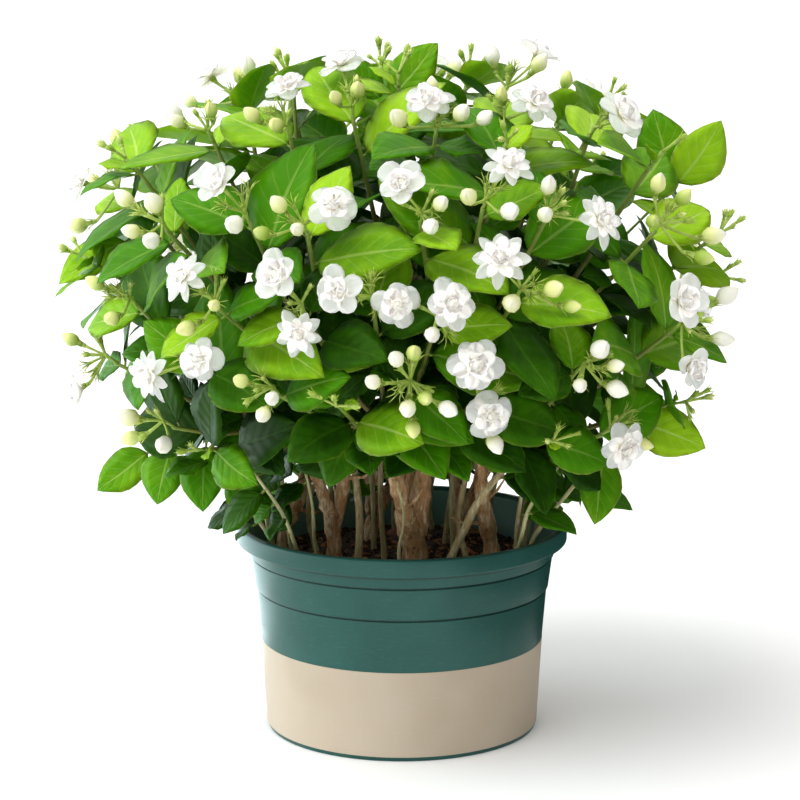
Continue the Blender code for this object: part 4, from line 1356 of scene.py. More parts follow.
@dataclass(frozen=True)
class PetalFinish(Finish):
    """White petals: a warm heart and faint veins along them."""

    name: str = "petal"
    white: Colour = linear(250, 249, 244)
    # The cream heart is partly the petals' own colour at their foot and partly painted shade: it gives the
    # warm shade deep in the flower.
    heart: Colour = linear(248, 242, 210)
    blush: Colour = linear(244, 228, 222)
    roughness: float = 0.6
    glow: float = 0.9
    # Painted light: the petals glow faintly in their own colour, which lifts the shade between them in place
    # of light passing through.
    painted_glow_strength: float = 0.13
    streaks: float = 44.0

    def inputs(self, recipe: Recipe) -> dict[str, Value]:
        """Builds the nodes.

        Args:
            recipe: The material's node tree.

        Returns:
            What the shader's inputs get.
        """
        side, along = recipe.form()
        mottle = recipe.use(mottle_group(), Scale=220.0, Grain=1400.0, Share=0.3)
        warm = recipe.mix(recipe.fit(along, 0.0, 0.5, 1.0, 0.0), self.white, self.heart)
        pink = recipe.math("MULTIPLY", recipe.fit(mottle.outputs["Patches"], 0.4, 0.75), recipe.tone())
        colour = recipe.mix(pink, warm, self.blush)
        streak = recipe.math("COSINE", recipe.math("MULTIPLY", side, self.streaks))
        height = recipe.math("MULTIPLY_ADD", streak, 0.25, mottle.outputs["Grain"])
        return {
            "Base Color": colour,
            # Painted light: a faint glow in the petal's colour.
            "Emission Color": colour,
            "Emission Strength": self.painted_glow_strength,
            "Roughness": recipe.math("MULTIPLY_ADD", mottle.outputs["Grain"], 0.2, self.roughness - 0.1),
            "Normal": recipe.bump(height, 0.2 * MM, 0.5),
            "Subsurface Weight": self.glow,
            "Subsurface Radius": (1.0, 0.96, 0.8),
            "Subsurface Scale": 7 * MM,
        }


@dataclass(frozen=True)
class BudFinish(Finish):
    """Wrapped buds: green when young, cream and white when ripe, with the petals' turned overlaps."""

    name: str = "bud"
    green: Colour = linear(152, 182, 62)
    cream: Colour = linear(224, 228, 150)
    white: Colour = linear(242, 241, 228)
    overlaps: float = 3.0
    twist: float = 1.4

    def inputs(self, recipe: Recipe) -> dict[str, Value]:
        """Builds the nodes.

        Args:
            recipe: The material's node tree.

        Returns:
            What the shader's inputs get.
        """
        turn, along = recipe.form()
        age = recipe.math("MULTIPLY_ADD", recipe.tone(), 1.3, -0.35)
        ripe = recipe.math("MULTIPLY_ADD", along, 0.55, age)
        low = recipe.mix(recipe.fit(ripe, 0.05, 0.55), self.green, self.cream)
        twist = recipe.math("MULTIPLY", along, self.twist)
        wrap = recipe.math("FRACT", recipe.math("MULTIPLY_ADD", turn, self.overlaps, twist))
        mottle = recipe.use(mottle_group(), Scale=300.0, Grain=1500.0, Share=0.4)
        return {
            "Base Color": recipe.mix(recipe.fit(ripe, 0.5, 1.0), low, self.white),
            "Roughness": recipe.math("MULTIPLY_ADD", mottle.outputs["Grain"], 0.2, 0.4),
            "Normal": recipe.bump(recipe.math("POWER", wrap, 0.5), 0.8 * MM, 0.6),
            "Subsurface Weight": 0.3,
            "Subsurface Radius": (1.0, 0.9, 0.5),
            "Subsurface Scale": 2 * MM,
        }


@dataclass(frozen=True)
class BarkFinish(Finish):
    """Rough reddish-brown bark that peels in long strips, with pale ridges and dark cracks."""

    name: str = "bark"
    crack: Colour = linear(84, 54, 30)
    skin: Colour = linear(194, 148, 100)
    ridge: Colour = linear(244, 220, 182)
    green: Colour = linear(128, 136, 78)
    green_share: float = 0.75
    relief: float = 1.6 * MM

    def inputs(self, recipe: Recipe) -> dict[str, Value]:
        """Builds the nodes.

        Args:
            recipe: The material's node tree.

        Returns:
            What the shader's inputs get.
        """
        strips = recipe.noise(recipe.place((1.0, 1.0, 0.16)), 620.0, 5.0, 0.65)
        plates = recipe.noise(recipe.place((1.0, 1.0, 0.3)), 180.0, 3.0, 0.6)
        height = recipe.math("MULTIPLY_ADD", plates, 0.9, recipe.math("MULTIPLY", strips, 0.8))
        low = recipe.mix(recipe.fit(height, 0.55, 0.78), self.crack, self.skin)
        wood = recipe.mix(recipe.fit(height, 0.8, 1.06), low, self.ridge)
        fresh = recipe.math("MULTIPLY", recipe.tone(), self.green_share)
        return {
            "Base Color": recipe.mix(fresh, wood, self.green),
            "Roughness": recipe.math("MULTIPLY_ADD", strips, 0.25, 0.68),
            "Normal": recipe.bump(height, self.relief, 1.0),
        }


@dataclass(frozen=True)
class SoilFinish(Finish):
    """Moist potting mix: dark crumbs with reddish fibres."""

    name: str = "potting mix"
    dark: Colour = linear(60, 39, 26)
    crumb: Colour = linear(116, 76, 52)
    fibre: Colour = linear(180, 122, 84)

    def inputs(self, recipe: Recipe) -> dict[str, Value]:
        """Builds the nodes.

        Args:
            recipe: The material's node tree.

        Returns:
            What the shader's inputs get.
        """
        place = recipe.place()
        cells = recipe.node("ShaderNodeTexVoronoi", {"Vector": place, "Scale": 330.0}, feature="F1")
        grain = recipe.noise(place, 900.0, 4.0, 0.6)
        patches = recipe.noise(place, 70.0, 2.0)
        crumb = recipe.fit(recipe.math("ADD", cells.outputs[0], grain), 0.5, 1.2, 1.0, 0.0)
        low = recipe.mix(crumb, self.dark, self.crumb)
        threads = recipe.noise(recipe.place((1.0, 0.2, 1.0)), 700.0)
        fibre = recipe.math("MULTIPLY", recipe.fit(threads, 0.58, 0.7), patches)
        return {
            "Base Color": recipe.mix(fibre, low, self.fibre),
            "Roughness": recipe.math("MULTIPLY_ADD", grain, 0.15, 0.82),
            "Normal": recipe.bump(recipe.math("ADD", crumb, grain), 2 * MM, 1.0),
        }


@dataclass(frozen=True)
class PlasticFinish(Finish):
    """Moulded plastic of the pot: soft uneven gloss, faint flow lines, dust and fine scuffs, and painted
    shade in bands under given heights.
    """

    colour: Colour
    patch: Colour
    dust: Colour
    roughness: float
    dust_share: float = 0.12
    # Painted shade: dark bands just under these heights, where the lip and the steps shade the wall.
    painted_shade_heights: tuple[float, ...] = ()
    painted_shade_width: float = 1.6 * MM
    painted_shade_strength: float = 0.62
    painted_shade: Colour = (0.01, 0.02, 0.016)
    shine: float = 0.3

    def inputs(self, recipe: Recipe) -> dict[str, Value]:
        """Builds the nodes.

        Args:
            recipe: The material's node tree.

        Returns:
            What the shader's inputs get.
        """
        mottle = recipe.use(mottle_group(), Scale=14.0, Grain=1600.0, Share=0.1)
        flow = recipe.noise(recipe.place((0.25, 0.25, 3.0)), 40.0, 3.0)
        scuff = recipe.noise(recipe.place((1.0, 1.0, 5.0)), 160.0, 6.0, 0.75)
        base = recipe.mix(recipe.fit(mottle.outputs["Patches"], 0.3, 0.75), self.colour, self.patch)
        worn = recipe.math("MULTIPLY", recipe.fit(scuff, 0.52, 0.74), self.dust_share)
        finish = recipe.mix(worn, base, self.dust)
        height = recipe.node("ShaderNodeSeparateXYZ", {0: recipe.place()}).outputs[2]
        # Painted shade: the colour darkens in a band under each given height.
        for painted_shade_height in self.painted_shade_heights:
            below = recipe.math("ABSOLUTE", recipe.math("SUBTRACT", height, painted_shade_height - 0.5 * self.painted_shade_width))
            painted_shade = recipe.fit(below, 0.0, self.painted_shade_width, self.painted_shade_strength, 0.0)
            finish = recipe.mix(painted_shade, finish, self.painted_shade)
        rough = recipe.math("MULTIPLY_ADD", flow, 0.14, self.roughness - 0.07)
        grain = recipe.math("MULTIPLY", mottle.outputs["Grain"], 0.2)
        return {
            "Base Color": finish,
            "Roughness": recipe.math("ADD", rough, worn),
            "Normal": recipe.bump(recipe.math("MULTIPLY_ADD", flow, 0.8, grain), 0.6 * MM, 0.45),
            "Specular IOR Level": self.shine,
        }


@dataclass(frozen=True)
class FloorFinish(Finish):
    """Plain pale floor."""

    name: str = "floor"
    colour: Colour = (0.93, 0.93, 0.93)

    def inputs(self, recipe: Recipe) -> dict[str, Value]:
        """Gives what the shader's inputs get."""
        return {"Base Color": self.colour, "Roughness": 0.9, "Specular IOR Level": 0.1}


@dataclass(frozen=True)
class CardFinish(Finish):
    """A card that shines evenly and mirrors nothing."""

    colour: Colour
    glow: float

    def inputs(self, recipe: Recipe) -> dict[str, Value]:
        """Sets a dark surface that glows.

        Args:
            recipe: The material's node tree, which needs no more nodes.

        Returns:
            What the shader's inputs get.
        """
        return {
            "Base Color": (0.0, 0.0, 0.0),
            "Specular IOR Level": 0.0,
            "Emission Color": self.colour,
            "Emission Strength": self.glow,
        }


# Shapes

@dataclass
class Form:
    """A closed shape: its points, its outward faces, and a place on its own map for each point."""

    points: np.ndarray
    faces: list[tuple[int, ...]]
    uvs: np.ndarray

    def moved(self, place: Matrix) -> "Form":
        """Gives the shape as it stands in a frame."""
        turn = np.array(place)
        return Form(self.points @ turn[:3, :3].T + turn[:3, 3], self.faces, self.uvs)


class Sheaf:
    """Gathers the repeats that make one piece."""

    def __init__(self) -> None:
        """Starts empty."""
        self.points: list[list[float]] = []
        self.faces: list[tuple[int, ...]] = []
        self.finishes: list[int] = []
        self.uvs: list[np.ndarray] = []
        self.tones: list[float] = []

    def add(self, form: Form, finish: int = 0, tone: float | np.ndarray = 0.5) -> None:
        """Adds a shape.

        Args:
            form: The shape.
            finish: The number of its material.
            tone: How light or ripe it is, for all of it or point by point.
        """
        start = len(self.points)
        self.points.extend(form.points.tolist())
        self.faces.extend(tuple(start + corner for corner in face) for face in form.faces)
        self.finishes.extend([finish] * len(form.faces))
        self.uvs.append(form.uvs)
        self.tones.extend(np.broadcast_to(tone, len(form.points)).tolist())

    def piece(self, name: str, *finishes: bpy.types.Material) -> bpy.types.Object:
        """Makes the piece.

        Args:
            name: The piece's name.
            *finishes: Its materials.

        Returns:
            The piece, at the origin.
        """
        mesh = bpy.data.meshes.new(name)
        mesh.from_pydata(self.points, [], self.faces)
        for finish in finishes:
            mesh.materials.append(finish)
        mesh.polygons.foreach_set("material_index", self.finishes)
        corners = np.empty(len(mesh.loops), np.int32)
        mesh.loops.foreach_get("vertex_index", corners)
        form = mesh.uv_layers.new(name="form")
        form.uv.foreach_set("vector", np.concatenate(self.uvs)[corners].astype(np.float32).ravel())
        tone = mesh.attributes.new("tone", "FLOAT", "POINT")
        tone.data.foreach_set("value", np.array(self.tones, np.float32))
        mesh.shade_smooth()
        mesh.update()
        return add_object(name, mesh)


def add_object(name: str, data: bpy.types.ID) -> bpy.types.Object:
    """Puts a mesh, a lamp or a camera into the scene.

    Args:
        name: The object's name.
        data: What it shows.

    Returns:
        The object, at the origin.
    """
    item = bpy.data.objects.new(name, data)
    bpy.context.scene.collection.objects.link(item)
    return item


def settle(piece: bpy.types.Object, slot: Slot, *nodes: str) -> None:
    """Hands a finished piece over.

    Args:
        piece: The piece.
        slot: The record's material slot; not used.
        *nodes: The solids that it stands for.
    """
    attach(piece, "root")
    if nodes:
        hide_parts(*nodes)
    LOG.info("%s: %d faces", piece.name, len(piece.data.polygons))


def only(item: bpy.types.Object) -> None:
    """Makes one object the only selected and the active one.

    Args:
        item: The object.
    """
    bpy.ops.object.select_all(action="DESELECT")
    item.select_set(True)
    bpy.context.view_layer.objects.active = item


def start_ring(vertices: int, radius: float, height: float) -> bpy.types.Object:
    """Adds a ring of points round the Z axis and opens it for modelling.

    Args:
        vertices: How many points.
        radius: The ring's radius.
        height: Its height.

    Returns:
        The ring, in edit mode with all of it selected.
    """
    bpy.ops.object.select_all(action="DESELECT")
    bpy.ops.mesh.primitive_circle_add(vertices=vertices, radius=radius, location=(0, 0, height))
    bpy.ops.object.transform_apply(location=True)
    bpy.ops.object.mode_set(mode="EDIT")
    bpy.ops.mesh.select_all(action="SELECT")
    return bpy.context.object


def extrude_ring(rise: float, share: float, height: float) -> None:
    """Extrudes the selected ring and scales the new one.

    Args:
        rise: How far it is lifted.
        share: The new radius over the old one.
        height: The new ring's height.
    """
    bpy.ops.mesh.extrude_edges_move(TRANSFORM_OT_translate={"value": (0, 0, rise)})
    bpy.ops.transform.resize(value=(share, share, 1), center_override=(0, 0, height))


def close_shell() -> None:
    """Turns all faces of the shape in edit mode outwards and leaves edit mode."""
    bpy.ops.mesh.select_all(action="SELECT")
    bpy.ops.mesh.normals_make_consistent(inside=False)
    bpy.ops.object.mode_set(mode="OBJECT")


def take_form(item: bpy.types.Object) -> Form:
    """Reads a modelled object's shape and removes the object.

    Args:
        item: The object.

    Returns:
        Its shape, with a map from the points' own x and y.
    """
    mesh = item.data
    points = np.empty(len(mesh.vertices) * 3)
    mesh.vertices.foreach_get("co", points)
    points = points.reshape(-1, 3)
    faces = [tuple(face.vertices) for face in mesh.polygons]
    bpy.data.objects.remove(item, do_unlink=True)
    return Form(points, faces, points[:, :2].copy())


def model_blade(across: int, along: int) -> Form:
    """Models a flat blade of two sheets that share their rim, from -1 to 1 across and 0 to 1 along.

    Args:
        across: Faces across it.
        along: Faces along it.

    Returns:
        The blade. The third coordinate is 1 on its upper sheet, -1 on its lower one and 0 at the rim.
    """
    bpy.ops.object.select_all(action="DESELECT")
    bpy.ops.mesh.primitive_grid_add(x_subdivisions=across, y_subdivisions=along, size=2)
    blade = bpy.context.object
    bpy.ops.object.mode_set(mode="EDIT")
    bpy.ops.mesh.select_all(action="SELECT")
    bpy.ops.transform.translate(value=(0, 1, 1))
    bpy.ops.transform.resize(value=(1, 0.5, 1), center_override=(0, 0, 0))
    bpy.ops.mesh.duplicate()
    bpy.ops.transform.translate(value=(0, 0, -2))
    bpy.ops.mesh.flip_normals()
    bpy.ops.object.mode_set(mode="OBJECT")
    for vert in blade.data.vertices:
        at_end = abs(vert.co.y - 0.5) > 0.499
        if at_end or abs(vert.co.x) > 0.999:
            vert.co.z = 0
        if at_end:
            vert.co.x = 0
    bpy.ops.object.mode_set(mode="EDIT")
    bpy.ops.mesh.select_all(action="SELECT")
    bpy.ops.mesh.remove_doubles(threshold=0.001)
    bpy.ops.object.mode_set(mode="OBJECT")
    form = take_form(blade)
    form.uvs[:, 0] = form.uvs[:, 0] * 0.5 + 0.5
    return form


def model_egg(sides: int, rings: int) -> Form:
    """Models a plain round shell of radius 1 with its poles on the Z axis.

    Args:
        sides: Faces round it.
        rings: Faces from pole to pole.

    Returns:
        The shell, mapped by its turn and its height.
    """
    bpy.ops.object.select_all(action="DESELECT")
    bpy.ops.mesh.primitive_uv_sphere_add(segments=sides, ring_count=rings, radius=1)
    form = take_form(bpy.context.object)
    x, y, z = form.points.T
    form.uvs = np.stack([np.arctan2(y, x) / math.tau + 0.5, z * 0.5 + 0.5], axis=1)
    return form


def smooth_path(
    points: Sequence[Vector],
    radii: Sequence[float],
    steps: int,
) -> tuple[list[Vector], list[float]]:
    """Rounds a path through its own points.

    Args:
        points: The path.
        radii: The radius at each point.
        steps: Steps between two points.

    Returns:
        The finer points and radii.
    """
    ends = [points[0] * 2 - points[1], *points, points[-1] * 2 - points[-2]]
    fine: list[Vector] = []
    thick: list[float] = []
    for index in range(len(points) - 1):
        before, start, end, after = ends[index:index + 4]
        for step in range(steps):
            share = step / steps
            tangent = (end - before) * share
            second = (2 * before - 5 * start + 4 * end - after) * share ** 2
            third = (3 * start - before - 3 * end + after) * share ** 3
            fine.append(0.5 * (2 * start + tangent + second + third))
            thick.append(radii[index] + (radii[index + 1] - radii[index]) * share)
    return fine + [points[-1]], thick + [radii[-1]]


RIPPLES_PER_METRE = (160, 45)


def tube(points: Sequence[Vector], radii: Sequence[float], sides: int, ripple: float = 0.0) -> Form:
    """Makes a closed round stem along a path.

    Args:
        points: The path.
        radii: The radius at each point.
        sides: How many sides.
        ripple: Share of the radius that uneven growth adds or takes.

    Returns:
        The stem, mapped by its turn and by the share of its length.
    """
    places: list[Vector] = []
    uvs: list[tuple[float, float]] = []
    normal = (points[1] - points[0]).orthogonal().normalized()
    before = (points[1] - points[0]).normalized()
    for index, (point, radius) in enumerate(zip(points, radii)):
        ahead = points[min(index + 1, len(points) - 1)] - points[max(index - 1, 0)]
        ahead.normalize()
        normal = (before.rotation_difference(ahead) @ normal).normalized()
        before = ahead
        other = ahead.cross(normal)
        for side in range(sides):
            angle = math.tau * side / sides
            outward = normal * math.cos(angle) + other * math.sin(angle)
            swell = 1.0
            if ripple:
                fine = noise.noise((point + outward * radius) * RIPPLES_PER_METRE[0])
                swell += ripple * fine + ripple * noise.noise(point * RIPPLES_PER_METRE[1])
            places.append(point + outward * radius * swell)
            uvs.append((side / sides, index / (len(points) - 1)))
    faces: list[tuple[int, ...]] = [tuple(reversed(range(sides)))]
    for ring in range(len(points) - 1):
        for side in range(sides):
            after = (side + 1) % sides
            low, high = ring * sides, (ring + 1) * sides
            faces.append((low + side, low + after, high + after, high + side))
    faces.append(tuple(range((len(points) - 1) * sides, len(points) * sides)))
    return Form(np.array([tuple(place) for place in places]), faces, np.array(uvs))


class FineLeaf:
    """Shapes the fine blade of a leaf over its solid, with waves and a drawn-out tip."""

    blade_faces = (4, 9)
    even_rows = 0.55
    end_rows = 0.45
    blade_thickness = 0.5 * MM
    half_width = 0.52
    tip_start = 0.8
    tip_length = 0.2
    tip_pinch = 0.5
    tip_droop = 0.03
    bulge = 0.1
    wave_height = (0.6, 2.0)  # millimetres
    wave_angle = (9, 14)  # radians from the stalk to the tip
    wave_lag = (0.4, 1.6)
    sway = 0.03
    bare_petiole = 0.7
    petiole_radius = 0.95 * MM
    petiole_path = ((-0.5, 0.3), (1.8, -0.5), (4.5, -0.5))  # millimetres along and up
    petiole_end = 0.3
    petiole_drop = 0.6 * MM
    petiole_taper = (1.25, 1, 0.8, 0.2)
    petiole_sides = 5

    def __init__(self) -> None:
        """Models the blade once, with rows that are closer at its ends."""
        self.blade = model_blade(*self.blade_faces)
        rows = self.blade.points[:, 1]
        eased = 0.5 - 0.5 * np.cos(np.pi * rows)
        self.blade.points[:, 1] = self.even_rows * rows + self.end_rows * eased
        self.blade.uvs[:, 1] = self.blade.points[:, 1]

    def shape(self, leaf: Leaf, rng: random.Random) -> Form:
        """Bends a copy of the blade into a leaf.

        Args:
            leaf: The leaf.
            rng: Seeded draws of its waves.

        Returns:
            The leaf's blade.
        """
        side, share, layer = self.blade.points.T
        outline = np.sin(np.pi * share ** LEAF_WIDEST) ** LEAF_FULLNESS
        taper = np.clip((share - self.tip_start) / self.tip_length, 0, 1)
        half = self.half_width * leaf.width * outline * (1 - self.tip_pinch * taper * (1 - taper))
        across = side * half
        height = np.abs(across) * math.tan(leaf.fold) - leaf.arch * leaf.length * share ** 2
        height = height + self.bulge * leaf.width * (0.5 - np.abs(side)) * np.abs(side) * outline
        wave = rng.uniform(*self.wave_height) * MM
        phase = rng.uniform(0, math.tau)
        angle = share * rng.uniform(*self.wave_angle)
        ripples = np.sin(angle + phase + np.sign(side) * rng.uniform(*self.wave_lag))
        height = height + wave * ripples * side ** 2 * np.sin(np.pi * share)
        height = height - self.tip_droop * leaf.length * taper ** 2
        height = height + 0.5 * self.blade_thickness * layer
        sway = rng.uniform(-self.sway, self.sway) * leaf.length
        across = across + sway * np.sin(np.pi * share) ** 2
        start = PETIOLE * self.bare_petiole
        along = start + share * (leaf.length - start)
        form = Form(np.stack([across, along, height], axis=1), self.blade.faces, self.blade.uvs)
        return form.moved(frame_to(leaf.base, leaf.along, leaf.up))

    def petiole(self, leaf: Leaf) -> Form:
        """Makes the short stalk of a leaf, which runs on under the midrib.

        Args:
            leaf: The leaf.

        Returns:
            The stalk.
        """
        place = frame_to(leaf.base, leaf.along, leaf.up)
        path = [place @ Vector((0, reach * MM, drop * MM)) for reach, drop in self.petiole_path]
        sag = leaf.arch * leaf.length * self.petiole_end ** 2
        path.append(place @ Vector((0, self.petiole_end * leaf.length, -self.petiole_drop - sag)))
        radii = [self.petiole_radius * share for share in self.petiole_taper]
        return tube(path, radii, self.petiole_sides)


# The plant and its pot

@dataclass(frozen=True)
class Standout:
    """One leaf that reaches out of the bush: its ends in millimetres, its slimness, side lean and tone."""

    base: tuple[float, float, float]
    tip: tuple[float, float, float]
    slimness: float
    lean: float
    tone: float


class Foliage:
    """The leafy branches: limbs, shoots and leaves, with more leaves inside and young ones at the tips."""

    blade, green = range(2)  # the order of a piece's materials
    smoothing = 4
    limb_sides = 8
    limb_ripple = 0.1
    limb_tone = 0.05
    limb_leaves = (4 * MM, 3)  # where they begin and how many pairs there are
    shoot_sides = 6
    shoot_tones = (0.1, 0.75)  # at its foot, and what its length adds
    petiole_tones = (0.5, 0.4)  # of a dark leaf, and what a bright one adds
    tone_point = 0.6  # share of a leaf's length
    # Painted shade and light in a leaf's tone: darker deeper in the bush and below its middle, lighter
    # outside and above.
    dark_depth = 0.48
    depth_light = 1.15
    rise_light = (0.2, 0.44)  # above and below the middle of the bush
    tone_variety = (-0.3, 0.36)
    # Painted shade: the leaves of the thin stems, low in the bush, are darkened further.
    low_leaf_shade = 0.8
    inner_twist = 0.25
    inner_up = (0.7, 0.7, 0.2)  # outwards, up and along the stem
    inner_shrink = 0.05
    inner_nodes = 6
    inner_overlap = 0.4  # share of the node spacing
    inner_spacing = 15 * MM
    inner_lengths = (40 * MM, 66 * MM)
    inner_rises = (0.1, 0.7)
    inner_clear = 0.4 * MM
    inner_tries = 10
    back_drop = 62 * MM
    side_drop = 34 * MM
    side_start = 66 * MM
    side_width = 45 * MM
    low_lengths = (28 * MM, 52 * MM)
    low_nodes = 8
    low_rises = (-0.9, 0.5)
    low_reach = 1.14
    back_nodes = 9
    young_lengths = (13 * MM, 27 * MM)
    young_rises = (0.5, 1.0)
    young_tones = (0.75, 1.0)
    young_reach = 1.5 * MM
    standouts = (
        Standout((183, -4, 378), (171, -2, 432), 0.66, -0.7, 0.55),
        Standout((186, -4, 379), (217, -14, 423), 0.66, 0.1, 0.8),
        Standout((152, -62, 231), (203, -74, 213), 0.6, 0.2, 0.85),
        Standout((136, -62, 208), (131, -84, 163), 0.6, -0.1, 0.55),
        Standout((-171, -32, 202), (-209, -42, 177), 0.6, -0.3, 0.6),
        Standout((-156, -50, 209), (-167, -64, 172), 0.76, 0.0, 0.55),
        Standout((-131, -70, 216), (-134, -92, 174), 0.66, 0.1, 0.4),
        Standout((-9, -10, 438), (22, -16, 478), 0.6, 0.3, 0.6),
        Standout((-12, -10, 437), (-42, -12, 468), 0.6, -0.3, 0.5),
        Standout((-186, -6, 344), (-234, -26, 320), 0.52, -0.2, 0.75),
    )
    standout_depth = 0.8
    standout_outward = 0.6
    standout_facing = (-1.1, 0.4)
    standout_fold = math.radians(14)
    standout_arch = 0.1
    thin_shoot_radius = 0.9 * MM
    thin_shoot_bend = (0.6, 4 * MM)  # share of its way, and how far it is drawn back there
    thin_shoot_tone = 0.7

    def __init__(self, crowd: Crowd) -> None:
        """Prepares the finishes and the blade.

        Args:
            crowd: What stands already.
        """
        self.crowd = crowd
        self.rng = random.Random(SEED + 1)
        self.fine = FineLeaf()
        self.skin = LeafFinish().make()
        self.stalk = StalkFinish("shoot skin", linear(124, 158, 52), linear(112, 100, 52)).make()
        self.extra = 0

    def tone(self, leaf: Leaf) -> float:
        """Works out a leaf's tone, which paints shade and light into its colour: dark inside and below,
        bright at the outside and the top, with a random share.

        Args:
            leaf: The leaf.

        Returns:
            From 0 to 1.
        """
        middle = leaf.base + leaf.along * leaf.length * self.tone_point
        depth = canopy_depth(middle)
        height = (middle.z - CANOPY_CENTRE.z) / CANOPY_SIZE.z
        outside = self.depth_light * max(0.0, depth - self.dark_depth)
        rise = self.rise_light[0] if height > 0 else self.rise_light[1]
        return min(1.0, max(0.0, outside + rise * height + self.rng.uniform(*self.tone_variety)))

    def sides(self, axis: Vector, turn: float) -> Iterator[Vector]:
        """The two opposite ways out from a stem, by its direction and the turn of one of its nodes."""
        for half in range(2):
            yield (Matrix.Rotation(turn + half * math.pi, 3, axis) @ axis.orthogonal()).normalized()

    def inner_leaves(
        self,
        points: list[Vector],
        start: float,
        nodes: int,
        own: str,
        lengths: tuple[float, float] = inner_lengths,
        rises: tuple[float, float] = inner_rises,
    ) -> list[Leaf]:
        """Sets more leaf pairs further down a stem, where there is room.

        Args:
            points: The stem's path.
            start: How far back from its end the first pair stands.
            nodes: How many pairs to try.
            own: The stem's name.
            lengths: The least and the greatest length of a leaf.
            rises: The least and the most that a leaf leans along the stem.

        Returns:
            The leaves.
        """
        found: list[Leaf] = []
        turn = self.rng.uniform(0, math.pi)
        for node in range(nodes):
            spot = along_path(points, start + node * self.inner_spacing)
            if spot is None:
                break
            for side in self.sides(spot[1], turn + node * math.pi / 2):
                leaf = self.find_leaf(*spot, side, own, self.rng.uniform(*lengths), rises)
                if leaf:
                    found.append(leaf)
        return found

    def young_leaves(self, points: list[Vector], own: str) -> list[Leaf]:
        """Sets a pair of small new leaves at a stem's end, where there is room.

        Args:
            points: The stem's path.
            own: The stem's name.

        Returns:
            The leaves.
        """
        point, axis = along_path(points, self.young_reach)
        found = []
        for side in self.sides(axis, self.rng.uniform(0, math.pi)):
            length = self.rng.uniform(*self.young_lengths)
            leaf = self.find_leaf(point, axis, side, own, length, self.young_rises)
            if leaf:
                found.append(leaf)
        return found

    def find_leaf(
        self,
        base: Vector,
        axis: Vector,
        side: Vector,
        own: str,
        length: float,
        rises: tuple[float, float],
    ) -> Leaf | None:
        """Finds room for one more leaf.

        Args:
            base: Where it leaves the stem.
            axis: The stem's direction.
            side: The way out from the stem.
            own: Its own stem.
            length: Its length, in metres.
            rises: The least and the most that it leans along the stem.

        Returns:
            The leaf, or None.
        """
        slimness = self.rng.uniform(*LEAF_SLIMNESS)
        outward = (base - CANOPY_CENTRE).normalized()
        for attempt in range(self.inner_tries):
            turn = self.rng.uniform(-self.inner_twist, self.inner_twist)
            twist = Matrix.Rotation(turn * (1 + attempt), 3, axis)
            rise = self.rng.uniform(*rises)
            along = ((twist @ side) * math.cos(rise) + axis * math.sin(rise)).normalized()
            up = outward * self.inner_up[0] + Vector((0, 0, self.inner_up[1])) + axis * self.inner_up[2]
            up = (up - along * up.dot(along)).normalized()
            size = length * (1 - self.inner_shrink * attempt)
            fold = math.radians(self.rng.uniform(*LEAF_FOLD))
            leaf = Leaf(base, along, up, size, size * slimness, fold, self.rng.uniform(*LEAF_ARCH))
            tip = leaf.base + leaf.along * leaf.length
            lowest = skirt_height(tip) - self.back_drop * min(1.0, max(0.0, tip.y / SKIRT_RADIUS))
            lowest -= self.side_drop * min(1.0, max(0.0, (abs(tip.x) - self.side_start) / self.side_width))
            reach = self.low_reach if own.startswith("twig") else CANOPY_REACH
            if canopy_depth(tip) > reach or tip.z < lowest:
                continue
            room = leaf_body(leaf, 2 * self.inner_clear, self.inner_clear)
            if not self.crowd.touches(room, skip=(own + ".",), heed_sight=True):
                self.crowd.add(leaf_body(leaf), f"leaf of {own}")
                self.extra += 1
                return leaf
        return None

    def add_leaf(self, sheaf: Sheaf, leaf: Leaf, tone: float) -> None:
        """Adds a leaf's blade and stalk.

        Args:
            sheaf: The shapes that it joins.
            leaf: The leaf.
            tone: How light it is.
        """
        sheaf.add(self.fine.shape(leaf, self.rng), self.blade, tone)
        dark, more = self.petiole_tones
        sheaf.add(self.fine.petiole(leaf), self.green, dark + more * tone)

    def build_low(self, stems: dict[str, list[Vector]]) -> None:
        """Builds the leaves of the thin stems.

        Args:
            stems: Each stem's name and path.
        """
        sheaf = Sheaf()
        sizes = (self.low_lengths, self.low_rises)
        for own, points in stems.items():
            for leaf in self.inner_leaves(points, 2 * MM, self.low_nodes, own, *sizes):
                self.add_leaf(sheaf, leaf, self.low_leaf_shade * self.tone(leaf))
        settle(sheaf.piece("leaves_of_thin_stems", self.skin, self.stalk), Slot.FOLIAGE)

    def build_standouts(self, branches: list[Branch]) -> None:
        """Builds the leaves that reach out of the bush, each on a thin shoot from the nearest stem.

        Args:
            branches: The leafy branches.
        """
        sheaf = Sheaf()
        share, pull = self.thin_shoot_bend
        joints = [point for branch in branches for shoot in branch.shoots for point in shoot.stem.points
                  if canopy_depth(point) < self.standout_depth]
        for item in self.standouts:
            base, tip = Vector(item.base) * MM, Vector(item.tip) * MM
            along = (tip - base).normalized()
            outward = (base - CANOPY_CENTRE).normalized()
            up = self.standout_outward * outward + Vector((item.lean, *self.standout_facing))
            up = (up - along * up.dot(along)).normalized()
            length = (tip - base).length
            width = length * item.slimness
            leaf = Leaf(base, along, up, length, width, self.standout_fold, self.standout_arch)
            self.add_leaf(sheaf, leaf, item.tone)
            root = min(joints, key=lambda joint: (joint - base).length)
            path = arc_points(root, root.lerp(base, share) - along * pull, base + along * MM, 6)
            shoot = tube(path, [self.thin_shoot_radius] * len(path), self.shoot_sides)
            sheaf.add(shoot, self.green, self.thin_shoot_tone)
        settle(sheaf.piece("standing_out_leaves", self.skin, self.stalk), Slot.FOLIAGE)

